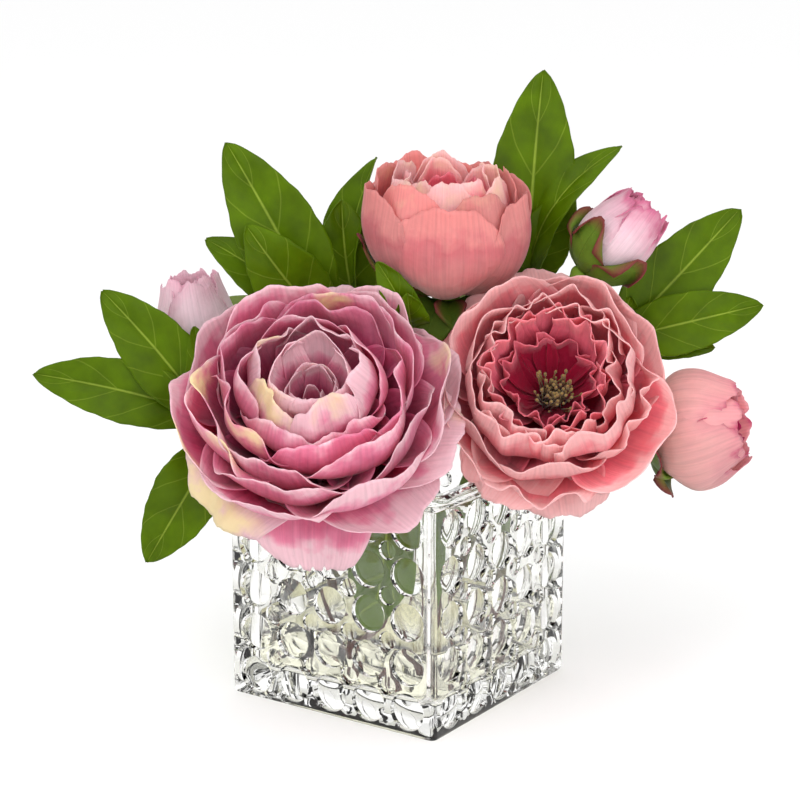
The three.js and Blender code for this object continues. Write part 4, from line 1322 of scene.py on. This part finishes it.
class PEONY_OT_open_bloom(bpy.types.Operator):
    """Assemble the open coral bloom, without its stamens"""

    bl_idname = "peony.open_bloom"
    bl_label = "Open coral bloom"

    def execute(self, context):
        short = [(3, 1), (12, 2), (27, 7), (39, 12), (44, 15)]
        tall = [(3, 1), (12, 2), (29, 7), (45, 12), (54, 16)]
        aside = (-0.1, 0.1)
        whorl(
            "coral_open", "guard", "coral",
            (31, 8, [(3, 1), (12, 2), (28, 7), (42, 11), (49, 11)], 46, dict(
                start=3, stray=3.0, wrap=0.8, ruffle=1.6, waves=1.0, curl=2.5, warp=1.6, across=34,
                along=26, deep=-0.15,
                each={
                    0: {"cream": 0.3, "line": short}, 1: {"line": short}, 7: {"deep": -0.25, "line": short},
                    2: {"cream": 0.4, "deep": -0.25, "line": tall}, 3: {"line": tall, "width": 54},
                    4: {"line": tall},
                },
            )),
        )
        whorl(
            "coral_open", "outer", "coral",
            (32, 6, [(3, 3.5), (15, 4), (34, 12), (44, 25), (44, 38)], 64, dict(
                start=25, loose=12, stray=3.5, ruffle=1.3, waves=1.2, curl=2.0, across=38, along=28,
                deep=0.0,
                each={2: {"width": 70, "ruffle": 0.6}, 4: {"ruffle": 2.6, "waves": 2.6, "curl": 4.0}},
            )),
            (33, 5, [(3, 4), (14, 6), (30, 14), (39, 28), (38, 43)], 60, dict(
                start=58, loose=12, stray=3.5, ruffle=1.6, waves=1.5, curl=1.5, across=38, along=28,
                deep=0.08, lean=aside,
                each={2: {"ruffle": 0.8, "width": 66}, 4: {"ruffle": 3.0, "waves": 3.0, "curl": 3.0}},
            )),
        )
        whorl(
            "coral_open", "middle", "coral",
            (34, 6, [(3, 6), (12, 8), (26, 17), (34, 30), (31, 46)], 48, dict(
                start=10, loose=14, stray=3.0, ruffle=2.2, waves=2.4, curl=0.0, across=44, along=28,
                deep=0.15, tip=0.95, rounding=0.08, lean=aside,
                each={2: {"ruffle": 1.0, "waves": 1.2}, 3: {"ruffle": 1.2}},
            )),
            (35, 6, [(3, 7), (11, 9), (23, 19), (29, 31), (26, 45)], 40, dict(
                start=40, loose=14, stray=3.0, ruffle=2.4, waves=2.6, curl=0.0, across=44, along=28,
                deep=0.24, tip=0.95, rounding=0.08, lean=aside,
            )),
        )
        whorl(
            "coral_open", "inner", "coral",
            (36, 6, [(3, 8.5), (9, 12), (18, 20), (23, 29), (24, 40)], 36, dict(
                start=20, loose=16, stray=4.0, ruffle=2.4, waves=2.8, curl=0.0, across=40, along=26,
                deep=0.55, tip=1.0, rounding=0.06, lean=aside,
            )),
            (37, 6, [(3, 9), (7, 12), (13, 18), (17, 25), (18, 33)], 27, dict(
                start=50, loose=16, stray=3.0, ruffle=2.2, waves=2.6, curl=0.0, across=36, along=24,
                deep=0.85, tip=1.0, rounding=0.06, lean=aside,
            )),
        )
        calyx("coral_open", [(0, 1), (12, 2), (28, 7), (42, 13), (50, 12)], 38, width=20, start=20)
        return {"FINISHED"}


TUFT_FOOT = 13.0  # height of the stamens' feet above the receptacle


def stamen_tree():
    """Geometry Nodes: a tuft of threads with a flocked tip, leaning out from the middle."""
    sizes = ["Spread", "Length", "Thread", "Anther"]
    tree, node, given = new_group("Stamen tuft", Int=["Count"], Float=sizes)
    index = node("GeometryNodeInputIndex")
    golden = node("ShaderNodeMath", {0: index, 1: math.pi * (3 - 5**0.5)}, operation="MULTIPLY")
    part = node("ShaderNodeMath", {0: index, 1: given["Count"]}, operation="DIVIDE")
    root = node("ShaderNodeMath", {0: part}, operation="SQRT")
    out = node("ShaderNodeMath", {0: root, 1: given["Spread"]}, operation="MULTIPLY")
    cos = node("ShaderNodeMath", {0: golden}, operation="COSINE")
    sin = node("ShaderNodeMath", {0: golden}, operation="SINE")
    x = node("ShaderNodeMath", {0: cos, 1: out}, operation="MULTIPLY")
    y = node("ShaderNodeMath", {0: sin, 1: out}, operation="MULTIPLY")
    where = node("ShaderNodeCombineXYZ", {"X": x, "Y": y})
    points = node("GeometryNodePoints", {"Count": given["Count"], "Position": where})
    up = node("ShaderNodeMath", {0: given["Length"], 1: 0.5}, operation="MULTIPLY")
    thread = node(
        "GeometryNodeMeshCylinder",
        {"Vertices": 5, "Side Segments": 2, "Radius": given["Thread"], "Depth": given["Length"]},
        fill_type="TRIANGLE_FAN",
    )
    raised = node("GeometryNodeTransform", {
        "Geometry": thread, "Translation": node("ShaderNodeCombineXYZ", {"Z": up}),
    })
    bead = node("GeometryNodeMeshUVSphere", {"Segments": 7, "Rings": 5, "Radius": given["Anther"]})
    high = node("ShaderNodeCombineXYZ", {"Z": given["Length"]})
    tip = node("GeometryNodeTransform", {"Geometry": bead, "Translation": high, "Scale": (1.0, 1.0, 1.9)})
    stamen = node("GeometryNodeJoinGeometry", {0: [raised, tip]})
    wild = node(
        "FunctionNodeRandomValue", {0: (-0.16, -0.16, -3.1), 1: (0.16, 0.16, 3.1), "Seed": 5},
        data_type="FLOAT_VECTOR",
    )
    apart = node("ShaderNodeCombineXYZ", {
        "X": node("ShaderNodeMath", {0: y, 1: -45.0}, operation="MULTIPLY"),
        "Y": node("ShaderNodeMath", {0: x, 1: 45.0}, operation="MULTIPLY"),
    })
    lean = node("ShaderNodeVectorMath", {0: apart, 1: wild}, operation="ADD")
    size = node("FunctionNodeRandomValue", {2: 0.72, 3: 1.08, "Seed": 9}, data_type="FLOAT")
    placed = node("GeometryNodeInstanceOnPoints", {
        "Points": points, "Instance": stamen, "Rotation": lean, "Scale": size,
    })
    real = node("GeometryNodeRealizeInstances", {"Geometry": placed})
    finished = node("GeometryNodeSetMaterial", {"Geometry": real, "Material": given["Material"]})
    node("NodeGroupOutput", {0: finished})
    return tree


class PEONY_OT_stamens(bpy.types.Operator):
    """Set the tuft of stamens in the open bloom"""

    bl_idname = "peony.stamens"
    bl_label = "Stamens"

    def execute(self, context):
        s = context.scene.peony_flowers
        fibre = stamen_fibre("Dyed nylon thread and flock", tuple(s.stalk), tuple(s.anther))
        mesh = bpy.data.meshes.new("Stamens")
        tuft = bpy.data.objects.new("coral_open_stamen_tuft", mesh)
        context.scene.collection.objects.link(tuft)
        grown(tuft, stamen_tree(), {
            "Count": s.stamens, "Spread": 5.5 * MM, "Length": 17 * MM, "Thread": 0.28 * MM,
            "Anther": 0.75 * MM, "Material": fibre,
        })
        turn, at = HEADS["coral_open"].placed
        foot = Vector((at + turn @ np.array([0, 0, TUFT_FOOT])) * MM)
        tuft.data.transform(Matrix.Translation(foot) @ Matrix(turn.tolist()).to_4x4())
        tuft.data.polygons.foreach_set("use_smooth", [True] * len(tuft.data.polygons))
        put(tuft, "stamen_fibre", "coral_open_stamens")
        return {"FINISHED"}


class PEONY_OT_cup_bloom(bpy.types.Operator):
    """Assemble the half-open coral bloom"""

    bl_idname = "peony.cup_bloom"
    bl_label = "Cup coral bloom"

    def execute(self, context):
        whorl(
            "coral_cup", "outer", "peach",
            (41, 5, [(3, 1), (14, 3), (29, 14), (34, 31), (30, 47)], 50, dict(
                start=266, loose=3, stray=2.5, ruffle=1.1, waves=1.2, curl=1.6, warp=1.7, rounding=0.14,
                tip=0.86, across=36, along=28, deep=0.1, each={0: {"width": 56}, 3: {"curl": 4.0}},
            )),
        )
        whorl(
            "coral_cup", "middle", "peach",
            (42, 5, [(3, 3.5), (12, 6.5), (25, 17), (30.5, 33), (26, 51)], 44, dict(
                start=302, ruffle=1.2, waves=1.2, curl=1.0, warp=0.6, across=34, along=26, deep=0.02,
                cream=0.45, cream_wide=1.5,
            )),
        )
        whorl(
            "coral_cup", "inner", "coral",
            (43, 6, [(3, 6), (10, 10), (20, 20), (25, 36), (21, 53)], 32, dict(
                start=270, ruffle=1.4, waves=1.4, curl=0.5, warp=0.6, across=28, along=24, deep=0.08,
                cream=0.55, cream_wide=1.5,
            )),
            (44, 5, [(3, 7), (8, 11), (15.5, 22), (20, 37), (17, 52)], 26, dict(
                start=240, ruffle=1.4, waves=1.4, warp=0.6, across=26, along=22, deep=0.25, cream=0.5,
                cream_wide=1.5,
            )),
        )
        whorl(
            "coral_cup", "heart", "coral",
            (45, 5, [(2, 9), (7, 14), (12.5, 26), (14.5, 38), (11, 48)], 20, dict(
                start=20, ruffle=1.3, waves=1.4, warp=0.6, across=22, along=20, deep=0.7,
            )),
            (46, 4, [(1, 10), (4, 15), (7, 26), (8, 36), (5, 43)], 13, dict(
                start=0, ruffle=1.0, waves=1.2, warp=0.5, across=18, along=16, deep=0.9,
            )),
        )
        calyx(
            "coral_cup", [(0, 1), (14, 3), (28, 14), (33, 32), (29, 50)], 47, width=30, start=246,
            reach=0.66, under=2.6,
            each={
                0: {"turn": 246, "line": [(5, -2), (12, -4), (18, -9), (23, -19)], "wrap": 0.4},
                1: {"turn": 306, "line": [(5, -2), (12, -4), (18, -8), (24, -17)], "wrap": 0.4},
            },
        )
        return {"FINISHED"}


# name: (radius, length, cloth, sepals, how far the base colour climbs, how far the sepals reach)
BUDS = {
    "upper_bud": (15.0, 38.0, "pale", 4, 0.27, 0.62),
    "right_bud": (25.0, 40.0, "blush", 5, 0.49, 0.42),
    "left_bud": (17.0, 44.0, "pale", 4, 0.62, 0.62),
}


class PEONY_OT_buds(bpy.types.Operator):
    """Wrap the three buds"""

    bl_idname = "peony.buds"
    bl_label = "Buds"

    def execute(self, context):
        for i, (name, (radius, long, kind, sepals, climb, reach)) in enumerate(BUDS.items()):

            def line(*shares):
                return [(r * radius, z * long) for r, z in shares]

            around = 2 * math.pi * radius
            whorl(
                name, "outer", kind,
                (
                    60 + i, 4, line((0.15, 0.03), (0.6, 0.1), (1, 0.36), (0.98, 0.68), (0.62, 0.98)),
                    around / 2.9,
                    dict(
                        start=20, ruffle=0.7, waves=1.0, curl=1.8, warp=0.6, across=30, along=24, jag=0.02,
                        deep=climb, cream=0.3,
                    ),
                ),
                word="wrap",
            )
            whorl(
                name, "inner", kind,
                (
                    70 + i, 4, line((0.15, 0.1), (0.5, 0.2), (0.85, 0.42), (0.84, 0.7), (0.5, 1)),
                    around / 3.2,
                    dict(
                        start=65, ruffle=0.9, waves=1.2, curl=0.8, warp=0.5, across=26, along=22, jag=0.02,
                        deep=climb - 0.05,
                    ),
                ),
                (
                    80 + i, 3, line((0.1, 0.13), (0.4, 0.24), (0.62, 0.45), (0.6, 0.72), (0.26, 0.97)),
                    around / 4.2,
                    dict(
                        start=10, ruffle=0.9, waves=1.2, warp=0.5, across=22, along=20, jag=0.02,
                        deep=climb - 0.1,
                    ),
                ),
                word="wrap",
            )
            calyx(
                name, line((0, 0.03), (0.6, 0.09), (1, 0.36), (0.98, 0.68), (0.55, 1)), 90 + i,
                count=sepals, width=radius * 1.5, start=45, reach=reach, under=1.6 + 0.06 * radius,
                socket=5.0, curl=2.5, rounding=0.4,
            )
        return {"FINISHED"}


# ---- Stage ----
FLOOR_RADIUS, FLOOR_SIDES = 6, 64
WALL_GREY = (0.72, 0.72, 0.72, 1)
WHITE = (1, 1, 1, 1)
SENSOR_WIDTH = 36  # millimetres


class PEONY_OT_stage(bpy.types.Operator):
    """Set out the floor, the lights and the camera"""

    bl_idname = "peony.stage"
    bl_label = "Stage"

    def execute(self, context):
        s = context.scene.peony_stage
        paper, node = new_material("White backdrop paper")
        if node is not None:
            # matt paper: no gloss, and a tooth too fine to show
            sheet = node("ShaderNodeBsdfPrincipled", {
                "Base Color": tuple(s.floor), "Roughness": 0.9, "Specular IOR Level": 0.1,
            })
            node("ShaderNodeOutputMaterial", {"Surface": sheet})
        mesh = bpy.data.meshes.new("Floor")
        around = [2 * math.pi * i / FLOOR_SIDES for i in range(FLOOR_SIDES)]
        rim = [(FLOOR_RADIUS * math.cos(a), FLOOR_RADIUS * math.sin(a), 0) for a in around]
        mesh.from_pydata(rim, [], [list(range(FLOOR_SIDES))])
        mesh.materials.append(paper)
        floor = bpy.data.objects.new("Floor", mesh)
        context.scene.collection.objects.link(floor)

        world = bpy.data.worlds.new("Soft studio")
        context.scene.world = world
        world.use_nodes = True
        world.node_tree.nodes.clear()
        node = partial(add, world.node_tree)
        way = node("ShaderNodeTexCoord").outputs["Generated"]
        height = node("ShaderNodeSeparateXYZ", {0: way}).outputs["Z"]
        # white round the horizon, a greyer wall above it and a white ceiling
        bands = node("ShaderNodeValToRGB", {"Fac": height}, stops=[
            (0.3, WHITE), (0.45, WALL_GREY), (0.75, WALL_GREY), (0.9, WHITE),
        ])
        light = node("ShaderNodeBackground", {"Color": bands, "Strength": s.sky})
        node("ShaderNodeOutputWorld", {"Surface": light})

        away = Vector((math.sin(s.azimuth), -math.cos(s.azimuth), 0))
        right = Vector((math.cos(s.azimuth), math.sin(s.azimuth), 0))
        aim = Vector((0, 0, s.aim))
        lamps = (
            ("Key", away * 1.0 - right * 0.55 + Vector((0, 0, 1.3)), s.key, 1.0),
            ("Fill", away * 1.35 + right * 0.4 + Vector((0, 0, 0.5)), s.key * 1.1, 1.2),
        )
        for name, at, watts, size in lamps:
            lamp = bpy.data.lights.new(name, "AREA")
            lamp.energy, lamp.size = watts, size
            hung = bpy.data.objects.new(name, lamp)
            hung.location = at
            hung.rotation_euler = (aim - at).to_track_quat("-Z", "Y").to_euler()
            context.scene.collection.objects.link(hung)

        lens = bpy.data.cameras.new("Camera")
        lens.lens, lens.sensor_width = s.lens, SENSOR_WIDTH
        lens.clip_start, lens.clip_end = 0.05, 30
        camera = bpy.data.objects.new("Camera", lens)
        tilt = math.cos(s.elevation)
        camera.location = aim + (away * tilt + Vector((0, 0, math.sin(s.elevation)))) * s.distance
        camera.rotation_euler = (aim - camera.location).to_track_quat("-Z", "Y").to_euler()
        context.scene.collection.objects.link(camera)
        context.scene.camera = camera
        context.scene.view_settings.view_transform = "Standard"
        return {"FINISHED"}


OPERATORS = (
    PEONY_OT_stage, PEONY_OT_vase, PEONY_OT_water, PEONY_OT_stems, PEONY_OT_leaves, PEONY_OT_mauve_bloom,
    PEONY_OT_open_bloom, PEONY_OT_stamens, PEONY_OT_cup_bloom, PEONY_OT_buds,
)


class PEONY_PT_panel(bpy.types.Panel):
    """Lists the steps and their settings"""

    bl_idname = "PEONY_PT_panel"
    bl_label = "Peonies in a vase"
    bl_space_type = "VIEW_3D"
    bl_region_type = "UI"
    bl_category = "Peonies"

    def draw(self, context):
        for step in OPERATORS:
            self.layout.operator(step.bl_idname)
        for key, group in GROUPS.items():
            box = self.layout.box()
            box.label(text=group.__doc__)
            for name in group.__annotations__:
                box.prop(getattr(context.scene, key), name)


CLASSES = (*GROUPS.values(), *OPERATORS, PEONY_PT_panel)


def register():
    for one in CLASSES:
        bpy.utils.register_class(one)
    for key, group in GROUPS.items():
        setattr(bpy.types.Scene, key, bpy.props.PointerProperty(type=group))


def unregister():
    for key in GROUPS:
        delattr(bpy.types.Scene, key)
    for one in reversed(CLASSES):
        bpy.utils.unregister_class(one)


def main():
    register()
    for step in OPERATORS:
        area, name = step.bl_idname.split(".")
        getattr(getattr(bpy.ops, area), name)()


if __name__ == "__main__":
    main()
